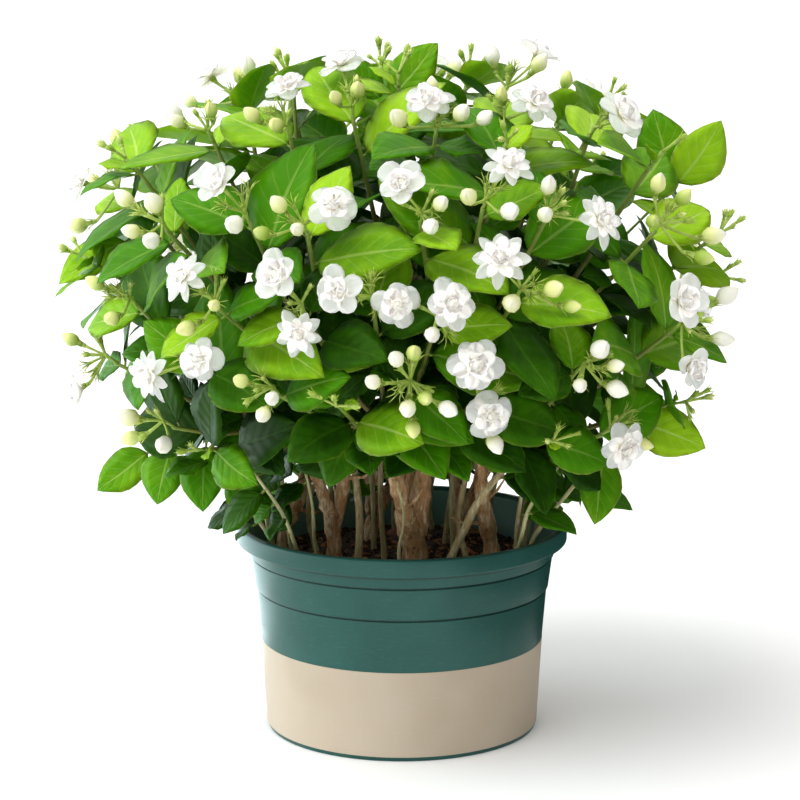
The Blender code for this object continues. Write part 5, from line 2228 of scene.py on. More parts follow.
    def build(self, branch: Branch) -> None:
        """Builds one leafy branch.

        Args:
            branch: The branch.
        """
        sheaf = Sheaf()
        nodes = self.back_nodes if "back" in branch.name else self.inner_nodes
        path, radii = smooth_path(branch.limb.points, branch.limb.radii, self.smoothing)
        limb = tube(path, radii, self.limb_sides, self.limb_ripple)
        sheaf.add(limb, self.green, self.limb_tone)
        foot_tone, more_tone = self.shoot_tones
        for order, shoot in enumerate(branch.shoots):
            own = f"{branch.name}_{order}"
            path, radii = smooth_path(shoot.stem.points, shoot.stem.radii, self.smoothing)
            stem = tube(path, radii, self.shoot_sides)
            sheaf.add(stem, self.green, foot_tone + more_tone * stem.uvs[:, 1])
            for leaf in self.young_leaves(shoot.stem.points, own):
                self.add_leaf(sheaf, leaf, self.rng.uniform(*self.young_tones))
            start = FIRST_NODE + NODE_SPACING * (NODES_ON_SHOOT - self.inner_overlap)
            for leaf in shoot.leaves + self.inner_leaves(shoot.stem.points, start, nodes, own):
                self.add_leaf(sheaf, leaf, self.tone(leaf))
        for leaf in self.inner_leaves(branch.limb.points, *self.limb_leaves, branch.name):
            self.add_leaf(sheaf, leaf, self.tone(leaf))
        piece = sheaf.piece(f"foliage_{branch.name}", self.skin, self.stalk)
        settle(piece, Slot.FOLIAGE, f"branch_{branch.name}")


class BloomStyle(Enum):
    """How a double flower has opened."""

    FULL = "full rosette"
    BROAD = "few broad petals"
    STARRY = "pointed petals"
    CUPPED = "half open"


@dataclass(frozen=True)
class PetalRing:
    """One ring of petals, in shares of the flower's radius and in degrees above its plane."""

    count: int
    length: float
    width: float
    lift: tuple[float, float]
    cup: float
    height: float


class Flowers:
    """The flower heads: stalks, blooms of several rings of petals, wrapped buds and green calyx lobes."""

    petals, wrapped, green = range(3)  # the order of a piece's materials
    rings = {
        BloomStyle.FULL: (
            PetalRing(6, 1.04, 0.78, (5, -14), 0.10, 0.00),
            PetalRing(6, 0.84, 0.66, (22, 6), 0.18, 0.04),
            PetalRing(5, 0.64, 0.70, (38, 44), 0.26, 0.06),
            PetalRing(4, 0.50, 0.72, (48, 118), 0.34, 0.05),
        ),
        BloomStyle.BROAD: (
            PetalRing(5, 1.06, 0.98, (4, -16), 0.08, 0.00),
            PetalRing(5, 0.78, 0.86, (28, 22), 0.20, 0.04),
            PetalRing(3, 0.54, 0.90, (46, 112), 0.34, 0.05),
        ),
        BloomStyle.STARRY: (
            PetalRing(8, 1.08, 0.52, (8, -8), 0.12, 0.00),
            PetalRing(7, 0.86, 0.52, (26, 12), 0.18, 0.04),
            PetalRing(5, 0.62, 0.52, (44, 50), 0.28, 0.06),
            PetalRing(4, 0.48, 0.62, (50, 112), 0.36, 0.05),
        ),
        BloomStyle.CUPPED: (
            PetalRing(5, 1.05, 0.94, (30, 8), 0.16, 0.00),
            PetalRing(5, 0.80, 0.80, (46, 50), 0.26, 0.04),
            PetalRing(4, 0.60, 0.82, (54, 112), 0.34, 0.05),
        ),
    }
    outline = {
        BloomStyle.FULL: (1.3, 0.56),
        BloomStyle.BROAD: (1.3, 0.5),
        BloomStyle.STARRY: (1.2, 0.72),
        BloomStyle.CUPPED: (1.35, 0.5),
    }
    chances = {
        BloomStyle.FULL: 0.28,
        BloomStyle.BROAD: 0.24,
        BloomStyle.STARRY: 0.32,
        BloomStyle.CUPPED: 0.16,
    }
    petal_faces = (4, 5)
    egg_faces = (10, 8)
    petal_crowding = 1.7
    petal_foot = 0.05
    petal_waves = 5
    petal_thickness = 0.3 * MM
    petal_lengths = (0.8, 1.05)
    petal_widths = (0.86, 1.1)
    petal_steps = 32
    lift_variety = 13  # degrees
    ruffle_heights = (0.01, 0.04)
    petal_tilt = 0.16
    ring_turn = 1.1
    ring_tone = (0.25, 0.2)
    petal_drift = 0.15
    heart_length = (0.5, 0.58)
    heart_height = 0.27
    heart_slimness = 0.46
    bloom_seat = 0.1
    bud_seat = 0.06
    bud_slimness = (0.3, 0.36)
    bud_outline = (0.84, 0.78)
    bud_folds = 3
    fold_twist = 5
    fold_height = 0.06
    bud_half = 0.49
    bud_pole = 0.01
    bud_ripeness = (0.25, 0.55)
    ripeness_variety = 0.3
    small_bud_slimness = 0.24
    calyx_sides = 7
    calyx_path = (-0.6 * MM, 1.0 * MM, 2.6 * MM)
    calyx_girths = (0.55, 0.95, 1.0)
    calyx_tone = 0.35
    lobes = 7
    lobe_seat = 2.2 * MM
    lobe_ring = 0.85
    lobe_drift = 0.2
    lobe_sides = 3
    lobe_tone = 0.7
    lobe_lean = 14  # degrees
    lobe_bends = (0.6, 1.2)
    lobe_taper = (1.0, 0.8, 0.2)
    lobe_length = (7 * MM, 10 * MM)
    lobe_radius = 0.42 * MM
    stalk_radius = 1.0 * MM
    stalk_pull = 0.22
    stalk_girths = (1.1, 1.0, 0.9, 1.0, 1.35)
    stalk_sides = 6
    stalk_tone = 0.5
    hub_radii = (1.15 * MM, 1.1 * MM, 1.9 * MM, 0.9 * MM)
    hub_ends = (0.6 * MM, 1.6 * MM)
    hub_sides = 8
    hub_middle = 0.6
    hub_tone = 0.3
    young_radii = (1.1 * MM, 0.9 * MM, 1.6 * MM)
    tube_length = (5.5 * MM, 8.5 * MM)
    tube_share = 0.6
    tube_lean = (0.75, 0.25)  # along the flower and along its stalk
    tube_foot = 1.1 * MM
    tube_waist = 0.68
    tube_waist_height = 0.6
    tube_sides = 8
    tube_tone = 0.12
    bloom_neck = 2.6 * MM
    bud_neck = 2.0 * MM
    flower_girth = 1.7 * MM
    flower_spread = 24  # degrees
    spent = (1, 4)
    spent_lean = (0.8, 0.3)  # at random and up
    spent_reach = (9, 14)  # millimetres
    spent_girth = 1.5 * MM
    spent_spread = 40  # degrees
    small_buds = (3, 8)
    small_bud_length = (5.5 * MM, 9.5 * MM)
    small_bud_reach = (7 * MM, 14 * MM)
    small_bud_lean = (0.8, 0.75, 0.45)  # outwards, at random and up
    small_bud_ripeness = (-0.1, 0.3)
    small_bud_girth = 0.17
    small_bud_spread = 16  # degrees
    small_bud_lobes = (0.7, 1.0)
    small_bud_middle = 0.6
    small_bud_room = 0.2
    bloom_room = 0.8
    tip_spare = 8 * MM

    def __init__(self) -> None:
        """Prepares the finishes and models a petal and a bud once."""
        self.rng = random.Random(SEED + 2)
        self.petal = model_blade(*self.petal_faces)
        rows = self.petal.points[:, 1]
        self.petal.points[:, 1] = 1 - (1 - rows) ** self.petal_crowding
        self.petal.uvs[:, 1] = self.petal.points[:, 1]
        self.egg = model_egg(*self.egg_faces)
        self.white = PetalFinish().make()
        self.wrap = BudFinish().make()
        self.stalk = StalkFinish("stalk skin", linear(190, 208, 98), linear(140, 170, 70), 0.5).make()

    def shape_petal(self, radius: float, ring: PetalRing, style: BloomStyle) -> Form:
        """Bends a copy of the petal, pointing along +X from the flower's middle.

        Args:
            radius: The flower's radius.
            ring: The ring that it is in.
            style: How the flower has opened.

        Returns:
            The petal in the flower's frame.
        """
        rng = self.rng
        side, share, layer = self.petal.points.T
        length = ring.length * radius * rng.uniform(*self.petal_lengths)
        steps = np.linspace(0, 1, self.petal_steps + 1)
        vary = self.lift_variety
        first, last = (math.radians(angle + rng.uniform(-vary, vary)) for angle in ring.lift)
        lift = first + (last - first) * steps
        run = np.concatenate([[0], np.cumsum(np.cos(lift[:-1]))]) * length / self.petal_steps
        rise = np.concatenate([[0], np.cumsum(np.sin(lift[:-1]))]) * length / self.petal_steps
        widest, fullness = self.outline[style]
        half = 0.5 * ring.width * radius * np.sin(np.pi * share ** widest) ** fullness
        across = side * half * rng.uniform(*self.petal_widths)
        slope = first + (last - first) * share
        cup = ring.cup * ring.width * radius * side ** 2 * np.sin(np.pi * share) ** 0.5
        ruffle = rng.uniform(*self.ruffle_heights) * radius
        ruffle = ruffle * np.sin(side * self.petal_waves + rng.uniform(0, 6)) * share ** 2
        away = cup + ruffle + 0.5 * self.petal_thickness * layer
        out = np.interp(share, steps, run) - np.sin(slope) * away + self.petal_foot * radius
        up = np.interp(share, steps, rise) + np.cos(slope) * away + ring.height * radius
        up = up + across * math.tan(rng.uniform(-self.petal_tilt, self.petal_tilt))
        return Form(np.stack([out, across, up], axis=1), self.flip_faces, self.petal.uvs)

    @property
    def flip_faces(self) -> list[tuple[int, ...]]:
        """The petal's faces, turned because its length now runs along X."""
        return [tuple(reversed(face)) for face in self.petal.faces]

    def bloom(self, sheaf: Sheaf, bloom: Bloom, style: BloomStyle) -> None:
        """Adds one double flower.

        Args:
            sheaf: The head's shapes.
            bloom: The flower.
            style: How it has opened.
        """
        place = facing_frame(bloom.centre, bloom.facing)
        turn = bloom.turn
        first_tone, more_tone = self.ring_tone
        for order, ring in enumerate(self.rings[style]):
            turn += math.pi / ring.count * self.ring_turn
            tone = first_tone + more_tone * order
            for index in range(ring.count):
                drift = self.rng.uniform(-self.petal_drift, self.petal_drift)
                angle = turn + math.tau * (index + drift) / ring.count
                petal = self.shape_petal(bloom.radius, ring, style)
                sheaf.add(petal.moved(place @ Matrix.Rotation(angle, 4, "Z")), self.petals, tone)
        heart = bloom.radius * self.rng.uniform(*self.heart_length)
        middle = bloom.centre + bloom.facing * bloom.radius * self.heart_height
        self.bud(sheaf, Bud(middle, bloom.facing, heart), 1.0, self.heart_slimness)

    def bud(self, sheaf: Sheaf, bud: Bud, ripe: float, slimness: float) -> None:
        """Adds one bud with its petals wrapped round each other.

        Args:
            sheaf: The head's shapes.
            bud: The bud.
            ripe: How ripe it is, from 0 to 1.
            slimness: Its radius over its length.
        """
        x, y, z = self.egg.points.T
        share = z * 0.5 + 0.5
        around = np.arctan2(y, x)
        widest, fullness = self.bud_outline
        profile = np.sin(np.pi * np.clip(share, 0, 1) ** widest) ** fullness
        fold = np.cos(self.bud_folds * around + self.fold_twist * share)
        wrap = 1 + self.fold_height * fold * np.sin(np.pi * share)
        radius = slimness * bud.length * profile * wrap
        radius = np.where(np.hypot(x, y) < self.bud_pole, 0, radius)
        height = z * self.bud_half * bud.length
        points = np.stack([np.cos(around) * radius, np.sin(around) * radius, height], axis=1)
        form = Form(points, self.egg.faces, self.egg.uvs)
        place = facing_frame(bud.centre, bud.facing)
        sheaf.add(form.moved(place), self.wrapped, min(1.0, max(0.0, ripe)))

    def small_cluster(self, sheaf: Sheaf, head: Head, crowd: Crowd | None = None) -> None:
        """Adds young green buds round the middle of a head, clear of what stands there.

        Args:
            sheaf: The head's shapes.
            head: The head.
            crowd: What stands already, if the buds must keep clear of it.
        """
        outward = (head.hub - CANOPY_CENTRE).normalized()
        taken = [(bloom.centre, bloom.radius * self.bloom_room) for bloom in head.blooms]
        taken += [(bud.centre, bud.length * 0.5) for bud in head.buds]
        for _ in range(self.rng.randint(*self.small_buds)):
            drift = Vector([self.rng.uniform(-1, 1) for _ in range(3)])
            out, aside, up = self.small_bud_lean
            facing = (outward * out + drift * aside + Vector((0, 0, up))).normalized()
            length = self.rng.uniform(*self.small_bud_length)
            end = head.hub + facing * self.rng.uniform(*self.small_bud_reach)
            centre = end + facing * length * self.small_bud_middle
            spare = length * self.small_bud_middle
            if any((centre - place).length < reach + spare for place, reach in taken):
                continue
            girth = length * self.small_bud_room
            room = stem_guards(Stem([end, centre + facing * length * 0.5], [girth] * 2))[0]
            if crowd and crowd.touches(room):
                continue
            taken.append((centre, length * 0.4))
            self.stalk_to(sheaf, head.hub, facing, end, facing)
            lobe = length * self.rng.uniform(*self.small_bud_lobes)
            self.calyx(sheaf, end, facing, length * self.small_bud_girth, self.small_bud_spread, lobe)
            ripe = self.rng.uniform(*self.small_bud_ripeness)
            self.bud(sheaf, Bud(centre, facing, length), ripe, self.small_bud_slimness)

    def calyx(
        self,
        sheaf: Sheaf,
        seat: Vector,
        facing: Vector,
        girth: float,
        spread: float,
        lobe: float = 0.0,
    ) -> None:
        """Adds the green cup under a flower or bud, with its thin lobes.

        Args:
            sheaf: The head's shapes.
            seat: The foot of the cup.
            facing: The way that it opens.
            girth: The cup's radius.
            spread: How far the lobes bend outwards, in degrees.
            lobe: The lobes' length, or 0 for the usual one.
        """
        cup = [seat + facing * reach for reach in self.calyx_path]
        girths = [girth * share for share in self.calyx_girths]
        sheaf.add(tube(cup, girths, self.calyx_sides), self.green, self.calyx_tone)
        place = facing_frame(seat + facing * self.lobe_seat, facing)
        start = self.rng.uniform(0, math.tau)
        for index in range(self.lobes):
            drift = self.rng.uniform(-self.lobe_drift, self.lobe_drift)
            angle = start + math.tau * (index + drift) / self.lobes
            outward = Vector((math.cos(angle), math.sin(angle), 0))
            reach = lobe or self.rng.uniform(*self.lobe_length)
            lean = math.radians(spread + self.rng.uniform(-self.lobe_lean, self.lobe_lean))
            path = [outward * girth * self.lobe_ring]
            for share in self.lobe_bends:
                step = outward * math.sin(lean * share) + Vector((0, 0, math.cos(lean * share)))
                path.append(path[-1] + step * reach * 0.5)
            radii = [self.lobe_radius * share for share in self.lobe_taper]
            form = tube([place @ spot for spot in path], radii, self.lobe_sides)
            sheaf.add(form, self.green, self.lobe_tone)

    def stalk_to(self, sheaf: Sheaf, start: Vector, lean: Vector, end: Vector, facing: Vector) -> None:
        """Adds a curved stalk.

        Args:
            sheaf: The head's shapes.
            start: Where it begins.
            lean: The way that it sets out.
            end: Where it ends.
            facing: The way that it arrives.
        """
        reach = (end - start).length
        pull = self.stalk_pull
        bend = (start + lean * reach * pull + end - facing * reach * pull) / 2
        radii = [self.stalk_radius * share for share in self.stalk_girths]
        path = arc_points(start, bend, end, len(radii) - 1)
        sheaf.add(tube(path, radii, self.stalk_sides), self.green, self.stalk_tone)

    def flower_tube(self, sheaf: Sheaf, hub: Vector, end: Vector, facing: Vector, girth: float) -> None:
        """Adds what carries a flower or bud: its stalk, its calyx and the pale tube that rises from it.

        Args:
            sheaf: The head's shapes.
            hub: The middle of the head.
            end: Where the petals begin.
            facing: The way that they open.
            girth: The tube's radius there.
        """
        reach = self.rng.uniform(*self.tube_length)
        line = (end - hub).normalized()
        ahead, back = self.tube_lean
        reach = min(reach, self.tube_share * (end - hub).length)
        seat = end - (facing * ahead + line * back).normalized() * reach
        axis = (end - seat).normalized()
        self.stalk_to(sheaf, hub, line, seat, axis)
        self.calyx(sheaf, seat, axis, self.flower_girth, self.flower_spread)
        path = [seat + axis * MM, seat.lerp(end, self.tube_waist_height), end]
        radii = [self.tube_foot, girth * self.tube_waist, girth]
        sheaf.add(tube(path, radii, self.tube_sides), self.wrapped, self.tube_tone)

    def build(self, head: Head) -> None:
        """Builds one flower head.

        Args:
            head: The head.
        """
        sheaf = Sheaf()
        middle = head.root.lerp(head.hub, self.hub_middle)
        below, above = self.hub_ends
        path = [head.root - head.lean * below, middle, head.hub, head.hub + head.lean * above]
        sheaf.add(tube(path, self.hub_radii, self.hub_sides), self.green, self.hub_tone)
        for bloom in head.blooms:
            style = self.rng.choices(list(self.chances), list(self.chances.values()))[0]
            seat = bloom.centre + bloom.facing * bloom.radius * self.bloom_seat
            self.flower_tube(sheaf, head.hub, seat, bloom.facing, self.bloom_neck)
            self.bloom(sheaf, bloom, style)
        for bud in head.buds:
            base = bud.centre - bud.facing * bud.length * BUD_SEAT
            seat = base + bud.facing * bud.length * self.bud_seat
            self.flower_tube(sheaf, head.hub, seat, bud.facing, self.bud_neck)
            grown = (bud.length - BUD_LENGTH[0]) / (BUD_LENGTH[1] - BUD_LENGTH[0])
            least, more = self.bud_ripeness
            ripe = least + more * grown + self.rng.uniform(-self.ripeness_variety, self.ripeness_variety)
            self.bud(sheaf, bud, ripe, self.rng.uniform(*self.bud_slimness))
        self.small_cluster(sheaf, head)
        self.spent_calyxes(sheaf, head)
        piece = sheaf.piece(f"blossom_{head.name[-2:]}", self.white, self.wrap, self.stalk)
        settle(piece, Slot.PETALS, head.name)

    def build_young(self, branches: list[Branch], heads: list[Head], crowd: Crowd) -> None:
        """Builds the clusters of young buds on the shoots that carry no flower head.

        Args:
            branches: The leafy branches.
            heads: The flower heads.
            crowd: What stands already.
        """
        sheaf = Sheaf()
        for shoot in (shoot for branch in branches for shoot in branch.shoots):
            before, tip = shoot.stem.points[-2:]
            if min((tip - head.root).length for head in heads) < self.tip_spare:
                continue
            lean = (tip - before).normalized()
            hub = tip + lean * PEDUNCLE
            path = [tip - lean * MM, tip.lerp(hub, 0.5), hub]
            sheaf.add(tube(path, self.young_radii, self.stalk_sides), self.green, self.hub_tone)
            self.small_cluster(sheaf, Head("", tip, lean, hub), crowd)
        settle(sheaf.piece("young_buds", self.white, self.wrap, self.stalk), Slot.PETALS)

    def spent_calyxes(self, sheaf: Sheaf, head: Head) -> None:
        """Adds bare calyxes whose flowers have dropped.

        Args:
            sheaf: The head's shapes.
            head: The head.
        """
        outward = (head.hub - CANOPY_CENTRE).normalized()
        for _ in range(self.rng.randint(*self.spent)):
            aside, up = self.spent_lean
            drift = Vector([self.rng.uniform(-1, 1) for _ in range(3)]) * aside
            facing = (outward + drift + Vector((0, 0, up))).normalized()
            end = head.hub + facing * self.rng.uniform(*self.spent_reach) * MM
            self.stalk_to(sheaf, head.hub, facing, end, facing)
            self.calyx(sheaf, end, facing, self.spent_girth, self.spent_spread)


class Trunks:
    """The woody trunks and their forks, with rough bark, knots and a flare at the soil."""

    smoothing = 7
    sides = 12
    ripple = 0.3
    flare = 0.25
    flare_height = 7 * MM
    knots = 3
    knot_swell = (1.1, 1.28)
    green_start = 50 * MM
    green_height = 90 * MM
    green_share = (0.1, 0.8)
    spurs = 4
    spur_length = (7 * MM, 34 * MM)
    spur_radius = (0.6 * MM, 1.3 * MM)
    spur_lean = (0.2, 1.0)
    spur_knee = 0.6
    spur_rise = 0.5
    spur_sides = 6
    spur_ripple = 0.2
    spur_taper = (1.5, 1, 0.5)
    spur_green = 0.1

    def __init__(self) -> None:
        """Prepares the finish."""
        self.rng = random.Random(SEED + 3)
        self.bark = BarkFinish().make()

    def spur(self, sheaf: Sheaf, path: list[Vector], radii: list[float]) -> None:
        """Adds the stub of a broken side twig.

        Args:
            sheaf: The trunk's shapes.
            path: The stem's points.
            radii: The stem's radii.
        """
        spot = self.rng.randrange(len(path) // 3, len(path) - 2)
        axis = (path[spot + 1] - path[spot]).normalized()
        side = (Matrix.Rotation(self.rng.uniform(0, math.tau), 3, axis) @ axis.orthogonal()).normalized()
        lean = (side + axis * self.rng.uniform(*self.spur_lean)).normalized()
        length = self.rng.uniform(*self.spur_length) + radii[spot]
        radius = self.rng.uniform(*self.spur_radius)
        knee = path[spot] + lean * length * self.spur_knee
        rest = length * (1 - self.spur_knee)
        tip = knee + (lean + Vector((0, 0, self.spur_rise))).normalized() * rest
        girths = [radius * share for share in self.spur_taper]
        form = tube([path[spot], knee, tip], girths, self.spur_sides, self.spur_ripple)
        sheaf.add(form, 0, self.spur_green)

    def build(self, number: int, stems: list[Stem]) -> None:
        """Builds one trunk.

        Args:
            number: Its number, from 1.
            stems: Its stems, the main one first.
        """
        sheaf = Sheaf()
        for order, stem in enumerate(stems):
            path, radii = smooth_path(stem.points, stem.radii, self.smoothing)
            if order == 0:
                radii = [radius * (1 + self.flare * math.exp(-abs(point.z - SOIL_TOP) / self.flare_height))
                         for point, radius in zip(path, radii)]
            for _ in range(self.knots):
                spot = self.rng.randrange(len(path) // 4, len(path) - 2)
                radii[spot] *= self.rng.uniform(*self.knot_swell)
            form = tube(path, radii, self.sides, self.ripple)
            height = form.points[:, 2] - SOIL_TOP - self.green_start
            green = np.clip(height / self.green_height, 0, 1)
            sheaf.add(form, 0, green * self.rng.uniform(*self.green_share))
            for _ in range(self.spurs):
                self.spur(sheaf, path, radii)
        settle(sheaf.piece(f"woody_stem_{number}", self.bark), Slot.BARK, f"trunk_{number}")


@dataclass(frozen=True)
class Twig:
    """One thin stem: its foot on the soil, its top and its radius, in millimetres, and how green it is."""

    foot: tuple[float, float]
    top: tuple[float, float, float]
    radius: float
    green: float


class Twigs:
    """Thin bare stems that rise from the soil between the trunks into the foliage."""

    twigs = (
        Twig((-91, -8), (-112, -34, 214), 1.9, 0.75),
        Twig((-74, -24), (-88, -46, 222), 1.6, 0.9),
        Twig((-60, 14), (-56, 2, 262), 1.9, 0.4),
        Twig((-31, -34), (-34, -30, 258), 2.6, 0.15),
        Twig((-12, -8), (-16, -20, 270), 1.9, 0.35),
        Twig((27, -54), (84, -62, 214), 3.0, 0.1),
        Twig((36, -8), (33, -24, 262), 1.6, 0.8),
        Twig((48, -46), (52, -46, 250), 2.0, 0.2),
        Twig((78, -30), (92, -52, 216), 1.6, 0.3),
        Twig((86, 12), (118, 2, 226), 1.8, 0.6),
        Twig((-48, 46), (-66, 58, 240), 1.9, 0.3),
        Twig((12, 58), (6, 74, 250), 1.8, 0.5),
        Twig((62, 54), (84, 76, 236), 1.8, 0.3),
        Twig((-82, 40), (-108, 54, 224), 1.7, 0.6),
        Twig((4, 22), (8, 14, 276), 2.1, 0.2),
        Twig((-30, 64), (-38, 96, 214), 1.6, 0.4),
        Twig((38, 66), (48, 98, 212), 1.6, 0.5),
        Twig((-64, 62), (-88, 92, 208), 1.5, 0.7),
        Twig((84, 40), (112, 66, 210), 1.6, 0.6),
        Twig((-6, 84), (-4, 118, 206), 1.5, 0.5),
        Twig((22, 86), (28, 120, 202), 1.5, 0.4),
        Twig((-46, 76), (-60, 108, 202), 1.5, 0.5),
        Twig((60, 66), (80, 98, 204), 1.5, 0.6),
        Twig((90, 22), (124, 34, 206), 1.6, 0.5),
        Twig((-92, 22), (-122, 30, 206), 1.6, 0.6),
        Twig((30, 30), (44, 44, 262), 1.8, 0.3),
        Twig((-20, 20), (-30, 30, 262), 1.7, 0.4),
        Twig((2, -66), (-8, -74, 196), 1.2, 0.5),
        Twig((-56, -50), (-66, -66, 204), 1.3, 0.8),
        Twig((84, -34), (132, -64, 206), 1.6, 0.7),
        Twig((-84, -38), (-126, -78, 206), 1.6, 0.7),
        Twig((70, -52), (104, -96, 204), 1.4, 0.8),
        Twig((-66, -60), (-98, -104, 202), 1.4, 0.8),
    )
    tries = 24
    smoothing = 5
    sides = 7
    ripple = 0.2
    foot_girth = 1.2
    taper = 0.5
    taper_shares = (0, 0.05, 0.3, 0.6, 1)
    depth = 8 * MM
    clear = 0.5 * MM
    more_sway = 0.35
    less_height = 0.018
    knees = (0.3, 0.62)
    knee_sway = 3  # millimetres
    knee_lag = 0.5
    top_sway = 2  # millimetres

    def __init__(self, crowd: Crowd) -> None:
        """Prepares the finish.

        Args:
            crowd: What stands already.
        """
        self.rng = random.Random(SEED + 5)
        self.crowd = crowd
        self.stems: dict[str, list[Vector]] = {}
        self.bark = BarkFinish(
            name="twig bark",
            crack=linear(112, 92, 58),
            skin=linear(188, 164, 116),
            ridge=linear(230, 214, 176),
            green=linear(178, 190, 134),
        ).make()

    def drift(self, reach: float) -> Vector:
        """A random step in the plan, of up to a reach along X and along Y."""
        return Vector((self.rng.uniform(-reach, reach), self.rng.uniform(-reach, reach), 0))

    def path(self, twig: Twig, attempt: int) -> list[Vector]:
        """Draws a way for a twig.

        Args:
            twig: The twig.
            attempt: How often a way was blocked; each time it sways more and ends lower.

        Returns:
            The points.
        """
        foot = Vector((*twig.foot, 0)) * MM + Vector((0, 0, SOIL_TOP))
        top = Vector(twig.top) * MM
        sway = 1 + self.more_sway * attempt
        top = foot.lerp(top, 1 - self.less_height * attempt)
        top += self.drift(self.top_sway) * sway * MM
        points = [foot - Vector((0, 0, self.depth)), foot]
        for share in self.knees:
            drift = self.drift(self.knee_sway) * sway * MM
            lag = Vector((foot.x - top.x, foot.y - top.y, 0)) * share * (1 - share) * self.knee_lag
            points.append(foot.lerp(top, share) + drift + lag)
        return points + [top]

    def build(self) -> None:
        """Builds the twigs, each bent clear of what stands."""
        sheaf = Sheaf()
        for order, twig in enumerate(self.twigs):
            radius = twig.radius * MM
            radii = [radius * (self.foot_girth - self.taper * share) for share in self.taper_shares]
            for attempt in range(self.tries):
                stem = Stem(self.path(twig, attempt), radii)
                guards = stem_guards(Stem(stem.points[1:], radii[1:]), spare=self.clear)
                if not any(self.crowd.touches(guard.copy(), skip=("pot",)) for guard in guards):
                    break
            else:
                LOG.info("thin stem %d found no way", order)
                continue
            for guard in guards:
                self.crowd.add(guard, f"twig_{order}.")
            self.stems[f"twig_{order}"] = stem.points
            path, fine = smooth_path(stem.points, radii, self.smoothing)
            sheaf.add(tube(path, fine, self.sides, self.ripple), 0, twig.green)
        settle(sheaf.piece("thin_stems", self.bark), Slot.BARK)


@dataclass
class PotSizes:
    """Real sizes of the pot, in metres, and how finely it is modelled."""

    step: float = 1.1 * MM
    collar_top: float = 123.5 * MM
    collar_radius: float = 106.5 * MM
    step_top: float = 100.5 * MM
    step_radius: float = 102.6 * MM
    band_top: float = 63 * MM
    band_bottom: float = 3 * MM
    band_radius: float = 98.6 * MM
    foot_radius: float = 95.2 * MM
    foot_width: float = 8 * MM
    foot_recess: float = 3 * MM
    pad_radius: float = 30 * MM
    wall: float = 2 * MM
    floor: float = 5.5 * MM
    lip_width: float = 5 * MM
    groove: float = 0.8 * MM
    drain_holes: int = 7
    drain_radius: float = 5 * MM
    drain_circle: float = 58 * MM
    drain_segments: int = 28
    segments: int = 112
    wall_least: float = 80 * MM  # all of the wall lies further out
    lip_curve: float = 2.5 * MM
    smooth_angle: float = math.radians(32)
    hub: float = 12 * MM


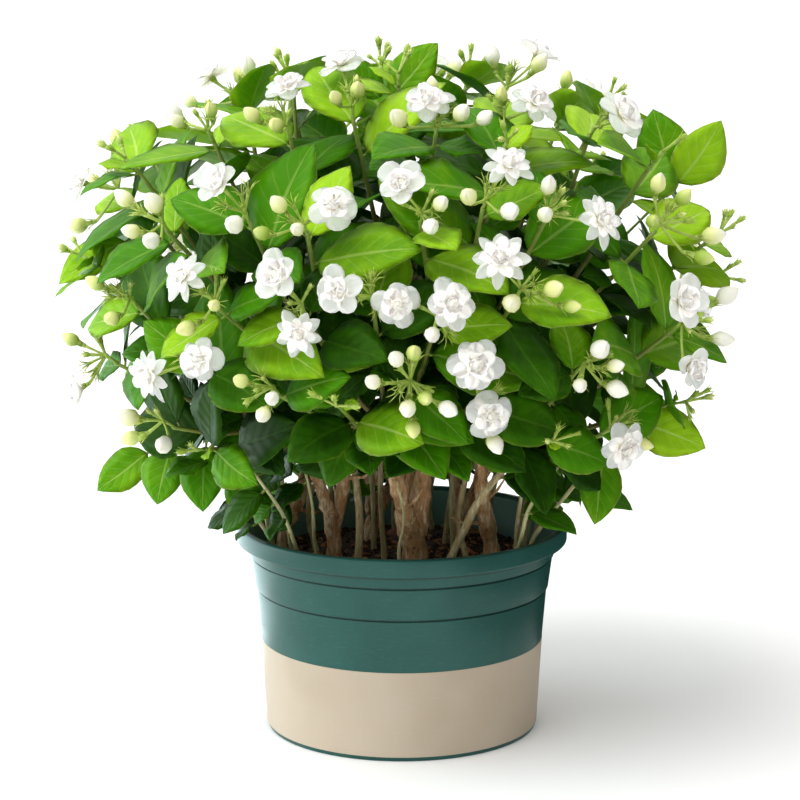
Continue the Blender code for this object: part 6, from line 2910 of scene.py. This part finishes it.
class Pot:
    """The pot: a turned shell with a rolled lip, two steps, a cream band, a foot and drain holes."""

    curve_share = 0.45  # the most that a corner's curve takes of the lines that meet there
    curve_shares = (0.0, 0.33, 0.67, 1.0)
    band_spare = 0.05 * MM

    def __init__(self, sizes: PotSizes) -> None:
        """Prepares the finishes.

        Args:
            sizes: The pot's sizes.
        """
        self.sizes = sizes
        green = PlasticFinish(
            name="green plastic",
            colour=linear(28, 77, 70),
            patch=linear(36, 87, 80),
            dust=linear(128, 156, 154),
            roughness=0.34,
            dust_share=0.1,
            # Painted shade under both steps and under the lip.
            painted_shade_heights=(sizes.step_top, sizes.collar_top, POT_HEIGHT - LIP_DEPTH - 1.6 * MM),
        )
        cream = PlasticFinish(
            name="cream band",
            colour=linear(190, 176, 157),
            patch=linear(180, 165, 144),
            dust=linear(210, 202, 190),
            roughness=0.5,
        )
        # The inner wall's copy of the green is much lighter: painted light where the inner wall catches
        # light, with real dust on it as well.
        painted_light_dusty = PlasticFinish(
            name="dusty green plastic",
            colour=linear(92, 138, 132),
            patch=linear(112, 150, 144),
            dust=linear(168, 172, 160),
            roughness=0.5,
            dust_share=0.35,
        )
        self.materials = tuple(finish.make() for finish in (green, cream, painted_light_dusty))

    def wall_inside(self) -> list[tuple[float, float, float]]:
        """The corners of the inner wall, from the floor up.

        Returns:
            Radius, height and size of each corner's curve.
        """
        sizes = self.sizes
        return [
            (sizes.foot_radius - sizes.wall, sizes.floor, 1.5 * MM),
            (sizes.band_radius - sizes.wall, sizes.band_top, 0),
            (sizes.step_radius - sizes.step - sizes.wall, sizes.step_top - sizes.step, 0.4 * MM),
            (sizes.step_radius - sizes.wall, sizes.step_top + sizes.step, 0.4 * MM),
            (sizes.collar_radius - sizes.step - sizes.wall, sizes.collar_top - sizes.step, 2 * MM),
        ]

    def stepped(self, radius: float, height: float) -> list[tuple[float, float, float]]:
        """The corners of one step of the wall, with the sharp groove under its edge.

        Args:
            radius: The wall's radius above the step.
            height: The height of the step's edge.

        Returns:
            Radius, height and size of each corner's curve.
        """
        sizes = self.sizes
        deep = radius - sizes.step - sizes.groove
        return [
            (radius, height, 0.5 * MM),
            (deep, height - 0.4 * sizes.groove, 0.15 * MM),
            (deep, height - 1.5 * sizes.groove, 0.15 * MM),
            (radius - sizes.step, height - 2.1 * sizes.groove, 0.3 * MM),
        ]

    def profile(self) -> list[tuple[float, float]]:
        """Draws the pot's section with rounded corners, from the inner floor over the lip to the pad.

        Returns:
            Radii and heights.
        """
        sizes = self.sizes
        lip_inner = LIP_RADIUS - sizes.lip_width
        lip_bottom = POT_HEIGHT - LIP_DEPTH
        corners = [(sizes.hub, sizes.floor, 0)]
        corners += self.wall_inside()
        corners += [
            (lip_inner - MM, POT_HEIGHT - 1.8 * MM, 0.8 * MM),
            (lip_inner + 0.4 * MM, POT_HEIGHT, 1.2 * MM),
            (LIP_RADIUS, POT_HEIGHT, 2.2 * MM),
            (LIP_RADIUS, lip_bottom, 1.2 * MM),
            (sizes.collar_radius + 1.6 * MM, lip_bottom - 1.4 * MM, 1.5 * MM),
            *self.stepped(sizes.collar_radius, sizes.collar_top),
            *self.stepped(sizes.step_radius, sizes.step_top),
            (sizes.band_radius - 0.1 * MM, sizes.band_top + 0.1 * MM, 0),
            (sizes.band_radius + 0.1 * MM, sizes.band_top, 0),
            (sizes.foot_radius + 0.1 * MM, sizes.band_bottom, 0),
            (sizes.foot_radius - 0.1 * MM, sizes.band_bottom - 0.1 * MM, 0),
            (sizes.foot_radius - 0.9 * MM, 0, 0.7 * MM),
            (sizes.foot_radius - sizes.foot_width, 0, 0.6 * MM),
            (sizes.foot_radius - sizes.foot_width - sizes.foot_recess, sizes.foot_recess, 0.6 * MM),
            (sizes.pad_radius + sizes.foot_recess, sizes.foot_recess, 0.6 * MM),
            (sizes.pad_radius, 0, 0.6 * MM),
            (sizes.hub, 0, 0),
        ]
        return self.rounded(corners)

    def rounded(self, corners: list[tuple[float, float, float]]) -> list[tuple[float, float]]:
        """Replaces each corner by a short curve.

        Args:
            corners: Radius, height and size of each corner's curve.

        Returns:
            Radii and heights.
        """
        points: list[tuple[float, float]] = []
        for index, (radius, height, size) in enumerate(corners):
            here = Vector((radius, height))
            if not size:
                points.append((radius, height))
                continue
            before = Vector(corners[index - 1][:2]) - here
            after = Vector(corners[index + 1][:2]) - here
            reach = min(size, self.curve_share * before.length, self.curve_share * after.length)
            start = here + before.normalized() * reach
            end = here + after.normalized() * reach
            for share in self.curve_shares:
                points.append(tuple(start.lerp(here, share).lerp(here.lerp(end, share), share)))
        return points

    def shell(self) -> bpy.types.Object:
        """Models the turned shell from one ring that is extruded along the section.

        Returns:
            The shell.
        """
        profile = self.profile()
        shell = start_ring(self.sizes.segments, *profile[0])
        for (radius, height), (next_radius, next_height) in zip(profile, profile[1:]):
            extrude_ring(next_height - height, next_radius / radius, next_height)
        bpy.ops.mesh.select_all(action="SELECT")
        bpy.ops.mesh.fill_holes(sides=0)
        close_shell()
        shell.name = shell.data.name = "nursery_pot"
        return shell

    def drill(self, shell: bpy.types.Object) -> None:
        """Cuts the drain holes through the floor.

        Args:
            shell: The pot's shell.
        """
        sizes = self.sizes
        for index in range(sizes.drain_holes):
            turn = math.tau * (index / sizes.drain_holes + 0.5 / POT_STEPS)
            across, ahead = sizes.drain_circle * math.cos(turn), sizes.drain_circle * math.sin(turn)
            bpy.ops.object.select_all(action="DESELECT")
            bpy.ops.mesh.primitive_cylinder_add(
                vertices=sizes.drain_segments,
                radius=sizes.drain_radius,
                depth=3 * sizes.floor,
                location=(across, ahead, sizes.floor / 2),
            )
            drill = bpy.context.object
            only(shell)
            hole = shell.modifiers.new("drain hole", "BOOLEAN")
            hole.operation = "DIFFERENCE"
            hole.object = drill
            bpy.ops.object.modifier_apply(modifier=hole.name)
            bpy.data.objects.remove(drill, do_unlink=True)

    def build(self) -> None:
        """Builds the pot."""
        shell = self.shell()
        self.drill(shell)
        for material in self.materials:
            shell.data.materials.append(material)
        sizes = self.sizes
        for face in shell.data.polygons:
            outside = face.normal.x * face.center.x + face.normal.y * face.center.y > 0
            low, high = sizes.band_bottom - self.band_spare, sizes.band_top + self.band_spare
            in_band = low < face.center.z < high
            on_wall = math.hypot(*face.center.xy) > sizes.wall_least
            face.material_index = int(outside and in_band and on_wall)
            # Painted light: the inner wall takes the lighter, dusty copy of the green.
            if not outside and sizes.floor < face.center.z < POT_HEIGHT - sizes.lip_curve:
                face.material_index = 2
        only(shell)
        bpy.ops.object.shade_smooth_by_angle(angle=sizes.smooth_angle)
        settle(shell, Slot.POT, "pot")


class Soil:
    """The potting mix: an uneven crumbly top with bark chips and crumbs on it."""

    rim_lap = 1.75 * MM
    clear = 0.5 * MM
    rings = 16
    segments = 72
    swell = 2.5 * MM
    lumps = ((2.0 * MM, 0, 28), (1.0 * MM, 1, 110))  # height, noise layer and scale per metre
    mound = 2.5 * MM
    mound_width = 14 * MM
    smooth_angle = math.radians(50)
    chips = 260
    crumbs = 420
    chip_lengths = (3, 8)
    chip_widths = (0.3, 0.55)
    chip_heights = (0.12, 0.3)
    crumb_sizes = (1.0, 2.6)
    jags = (0.7, 1.15)
    tilt = 0.5  # radians
    bare_edge = 5 * MM
    lie = 0.3  # share of its height at which a chip's middle lies
    foot_clear = 2 * MM

    def __init__(self, sizes: PotSizes, trunks: list[list[Stem]]) -> None:
        """Prepares the finishes.

        Args:
            sizes: The pot's sizes.
            trunks: The trunks that stand in it.
        """
        self.rng = random.Random(SEED + 4)
        self.sizes = sizes
        self.trunks = trunks
        self.mix = SoilFinish().make()
        self.chip = BarkFinish(
            name="bark chip",
            crack=linear(74, 42, 28),
            skin=linear(162, 102, 70),
            ridge=linear(216, 158, 112),
        ).make()
        self.rim = sizes.step_radius - sizes.wall + self.rim_lap

    def top(self, x: float, y: float) -> float:
        """Height of the soil at a place of the plan.

        Args:
            x: Metres to the right.
            y: Metres to the back.

        Returns:
            The height, in metres.
        """
        radius = math.hypot(x, y)
        height = SOIL_TOP + self.swell * max(0.0, 1 - (radius / self.rim) ** 2)
        for lump, layer, scale in self.lumps:
            height += lump * noise.noise(Vector((x, y, layer)) * scale)
        for stems in self.trunks:
            foot = stems[0].points[0]
            height += self.mound * math.exp(-(math.hypot(x - foot.x, y - foot.y) / self.mound_width) ** 2)
        return height

    def build(self) -> None:
        """Builds the soil and what lies on it."""
        self.body()
        self.litter()

    def body(self) -> None:
        """Models the soil from one ring: down the wall to the floor, and in over the top."""
        sizes = self.sizes
        clear = self.clear
        soil = start_ring(self.segments, self.rim, SOIL_TOP)
        radius = self.rim
        for ring in range(1, self.rings):
            wanted = self.rim * (1 - ring / self.rings)
            extrude_ring(0, wanted / radius, SOIL_TOP)
            radius = wanted
        bpy.ops.mesh.edge_face_add()
        bpy.ops.mesh.poke()
        bpy.ops.mesh.select_all(action="DESELECT")
        bpy.ops.object.mode_set(mode="OBJECT")
        for vert in soil.data.vertices:
            vert.select = math.hypot(vert.co.x, vert.co.y) > self.rim - 0.1 * MM
        for edge in soil.data.edges:
            edge.select = all(soil.data.vertices[index].select for index in edge.vertices)
        bpy.ops.object.mode_set(mode="EDIT")
        radius, height = self.rim, SOIL_TOP
        walls = (
            (sizes.step_radius - sizes.wall - clear, sizes.step_top + sizes.step),
            (sizes.step_radius - sizes.step - sizes.wall - clear, sizes.step_top - sizes.step),
            (sizes.band_radius - sizes.wall - clear, sizes.band_top),
            (sizes.foot_radius - sizes.wall - self.foot_clear, sizes.floor + clear),
        )
        for wanted, level in walls:
            extrude_ring(level - height, wanted / radius, level)
            radius, height = wanted, level
        bpy.ops.mesh.edge_face_add()
        close_shell()
        for vert in soil.data.vertices:
            if abs(vert.co.z - SOIL_TOP) < 0.01 * MM:
                vert.co.z = self.top(vert.co.x, vert.co.y)
        soil.name = soil.data.name = "potting_mix"
        soil.data.materials.append(self.mix)
        only(soil)
        bpy.ops.object.shade_smooth_by_angle(angle=self.smooth_angle)
        settle(soil, Slot.SOIL, "soil")

    def litter(self) -> None:
        """Scatters bark chips and crumbs over the soil by a seeded rule."""
        bpy.ops.object.select_all(action="DESELECT")
        bpy.ops.mesh.primitive_ico_sphere_add(subdivisions=1, radius=1)
        lump = take_form(bpy.context.object)
        sheaf = Sheaf()
        for index in range(self.chips + self.crumbs):
            chip = index < self.chips
            angle = self.rng.uniform(0, math.tau)
            reach = (self.rim - self.bare_edge) * math.sqrt(self.rng.random())
            x, y = reach * math.cos(angle), reach * math.sin(angle)
            long = self.rng.uniform(*(self.chip_lengths if chip else self.crumb_sizes)) * MM
            size = [long] * 3
            if chip:
                size[1] *= self.rng.uniform(*self.chip_widths)
                size[2] *= self.rng.uniform(*self.chip_heights)
            tumble = Matrix.Rotation(self.rng.uniform(0, math.tau), 4, "Z")
            for axis in "XY":
                tumble = tumble @ Matrix.Rotation(self.rng.uniform(-self.tilt, self.tilt), 4, axis)
            jag = np.array([self.rng.uniform(*self.jags) for _ in lump.points])[:, None]
            shape = Form(lump.points * np.array(size) * jag, lump.faces, lump.uvs)
            place = Matrix.Translation((x, y, self.top(x, y) + self.lie * size[2])) @ tumble
            sheaf.add(shape.moved(place), int(not chip), 0.0)
        piece = sheaf.piece("bark_chips_and_crumbs", self.chip, self.mix)
        only(piece)
        bpy.ops.object.shade_flat()
        settle(piece, Slot.SOIL)


class Studio:
    """A plain pale floor, soft light from the left, and a camera at the photograph's angle."""

    eye = Vector((0.0, -1.8, 0.574))
    pitch = 10.8
    focal = 118.8
    sensor = 36
    shift = -0.0025
    floor_size = 60
    fill = (1.25, 0.04)
    fill_span = (-1.0, 0.75)  # from the left to the right
    ceiling_span = (0.1, 0.9)  # from the horizon to straight up
    ceiling = 1.08
    backdrop = 1.02
    key = 1.75
    softness = 45
    key_place = Vector((-0.95, -0.8, 1.9))
    side = 11.0
    side_size = 1.2
    side_place = Vector((-1.5, 0.15, 0.5))
    side_aim = Vector((0, 0, 0.15))
    cool = (0.82, 0.97, 1.0)
    warm = (1.0, 0.995, 0.98)
    card_span = (0.118, 0.9)
    card_height = 0.26
    card_depth = 0.13
    card_glow = 3.6
    wing_place = 0.3
    wing_reach = 0.45

    def build(self) -> None:
        """Sets up the floor, the light and the camera."""
        self.camera()
        self.floor()
        self.sky()
        self.sun()
        self.side_lamp()
        self.card("black flag", 1, 0.0, self.wing_reach)
        self.card("bright reflector", -1, self.card_glow)
        settings = bpy.context.scene.view_settings
        settings.view_transform = "Standard"
        settings.look = "None"

    def camera(self) -> None:
        """Adds the camera."""
        data = bpy.data.cameras.new("camera")
        data.lens = self.focal
        data.sensor_width = self.sensor
        data.shift_x = self.shift
        item = add_object("camera", data)
        item.location = self.eye
        item.rotation_euler = (math.radians(90 - self.pitch), 0, 0)
        bpy.context.scene.camera = item

    def floor(self) -> None:
        """Adds the floor."""
        bpy.ops.object.select_all(action="DESELECT")
        bpy.ops.mesh.primitive_plane_add(size=self.floor_size, location=(0, 0, 0))
        floor = bpy.context.object
        floor.name = "floor"
        floor.data.materials.append(FloorFinish().make())

    def sky(self) -> None:
        """Lights the whole scene evenly, in front of a white backdrop."""
        world = bpy.data.worlds.new("studio")
        world.use_nodes = True
        recipe = Recipe(world.node_tree)
        backdrop = world.node_tree.nodes["Background"]
        recipe.feed(backdrop.inputs["Color"], self.warm)
        direction = recipe.node("ShaderNodeTexCoord").outputs["Generated"]
        to_right, _, upward = recipe.node("ShaderNodeSeparateXYZ", {0: direction}).outputs
        across = recipe.fit(to_right, *self.fill_span, *self.fill)
        above = recipe.fit(upward, *self.ceiling_span)
        glow = recipe.math("MULTIPLY_ADD", above, recipe.math("SUBTRACT", self.ceiling, across), across)
        seen = recipe.node("ShaderNodeLightPath").outputs["Is Camera Ray"]
        recipe.feed(backdrop.inputs["Strength"], recipe.fit(seen, 0.0, 1.0, glow, self.backdrop))
        bpy.context.scene.world = world

    def card(self, name: str, side: int, glow: float, wing: float = 0.0) -> None:
        """Stands a card behind the pot that only glossy reflections see, like a studio's flag or reflector.

        Args:
            name: Its name.
            side: 1 at the right, -1 at the left.
            glow: How brightly it shines.
            wing: How far a second leaf of it comes forward beside the pot, or 0 for none.
        """
        near, far = (side * reach for reach in self.card_span)
        beside = side * self.wing_place
        lines = [((near, self.card_depth), (far, self.card_depth))]
        lines += [((beside, self.card_depth), (beside, -wing))] if wing else []
        corners = [(*spot, height) for line in lines for height in (0, self.card_height) for spot in line]
        mesh = bpy.data.meshes.new(name)
        faces = [(first, first + 1, first + 3, first + 2) for first in range(0, len(corners), 4)]
        mesh.from_pydata(corners, [], faces)
        mesh.materials.append(CardFinish(name, self.cool, glow).make())
        item = add_object(name, mesh)
        item.visible_camera = item.visible_diffuse = item.visible_shadow = item.visible_transmission = False

    def side_lamp(self) -> None:
        """Adds a wide soft lamp at the left, which draws the pot's bright edge."""
        data = bpy.data.lights.new("side light", "AREA")
        data.energy = self.side
        data.color = self.cool
        data.size = self.side_size
        self.lamp(data, self.side_place, self.side_aim)

    def sun(self) -> None:
        """Adds the key light, soft and from the upper left."""
        data = bpy.data.lights.new("key light", "SUN")
        data.energy = self.key
        data.angle = math.radians(self.softness)
        self.lamp(data, self.key_place, Vector())

    def lamp(self, data: bpy.types.Light, place: Vector, target: Vector) -> None:
        """Stands a lamp at its place.

        Args:
            data: The lamp.
            place: Where it stands.
            target: What it is turned to.
        """
        item = add_object(data.name, data)
        item.location = place
        item.rotation_euler = (target - place).to_track_quat("-Z", "Y").to_euler()


def main() -> None:
    """Grows the bush and builds every piece in order."""
    logging.basicConfig(level=logging.INFO, format="%(name)s: %(message)s")
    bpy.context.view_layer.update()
    Studio().build()
    trunks, heads, branches, crowd = grow_bush()
    sizes = PotSizes()
    Pot(sizes).build()
    Soil(sizes, trunks).build()
    stems = Trunks()
    for number, forks in enumerate(trunks, 1):
        stems.build(number, forks)
    twigs = Twigs(crowd)
    twigs.build()
    foliage = Foliage(crowd)
    for branch in branches:
        foliage.build(branch)
    foliage.build_low(twigs.stems)
    foliage.build_standouts(branches)
    LOG.info("extra leaves: %d", foliage.extra)
    flowers = Flowers()
    for head in heads:
        flowers.build(head)
    flowers.build_young(branches, heads, crowd)


if __name__ == "__main__":
    main()
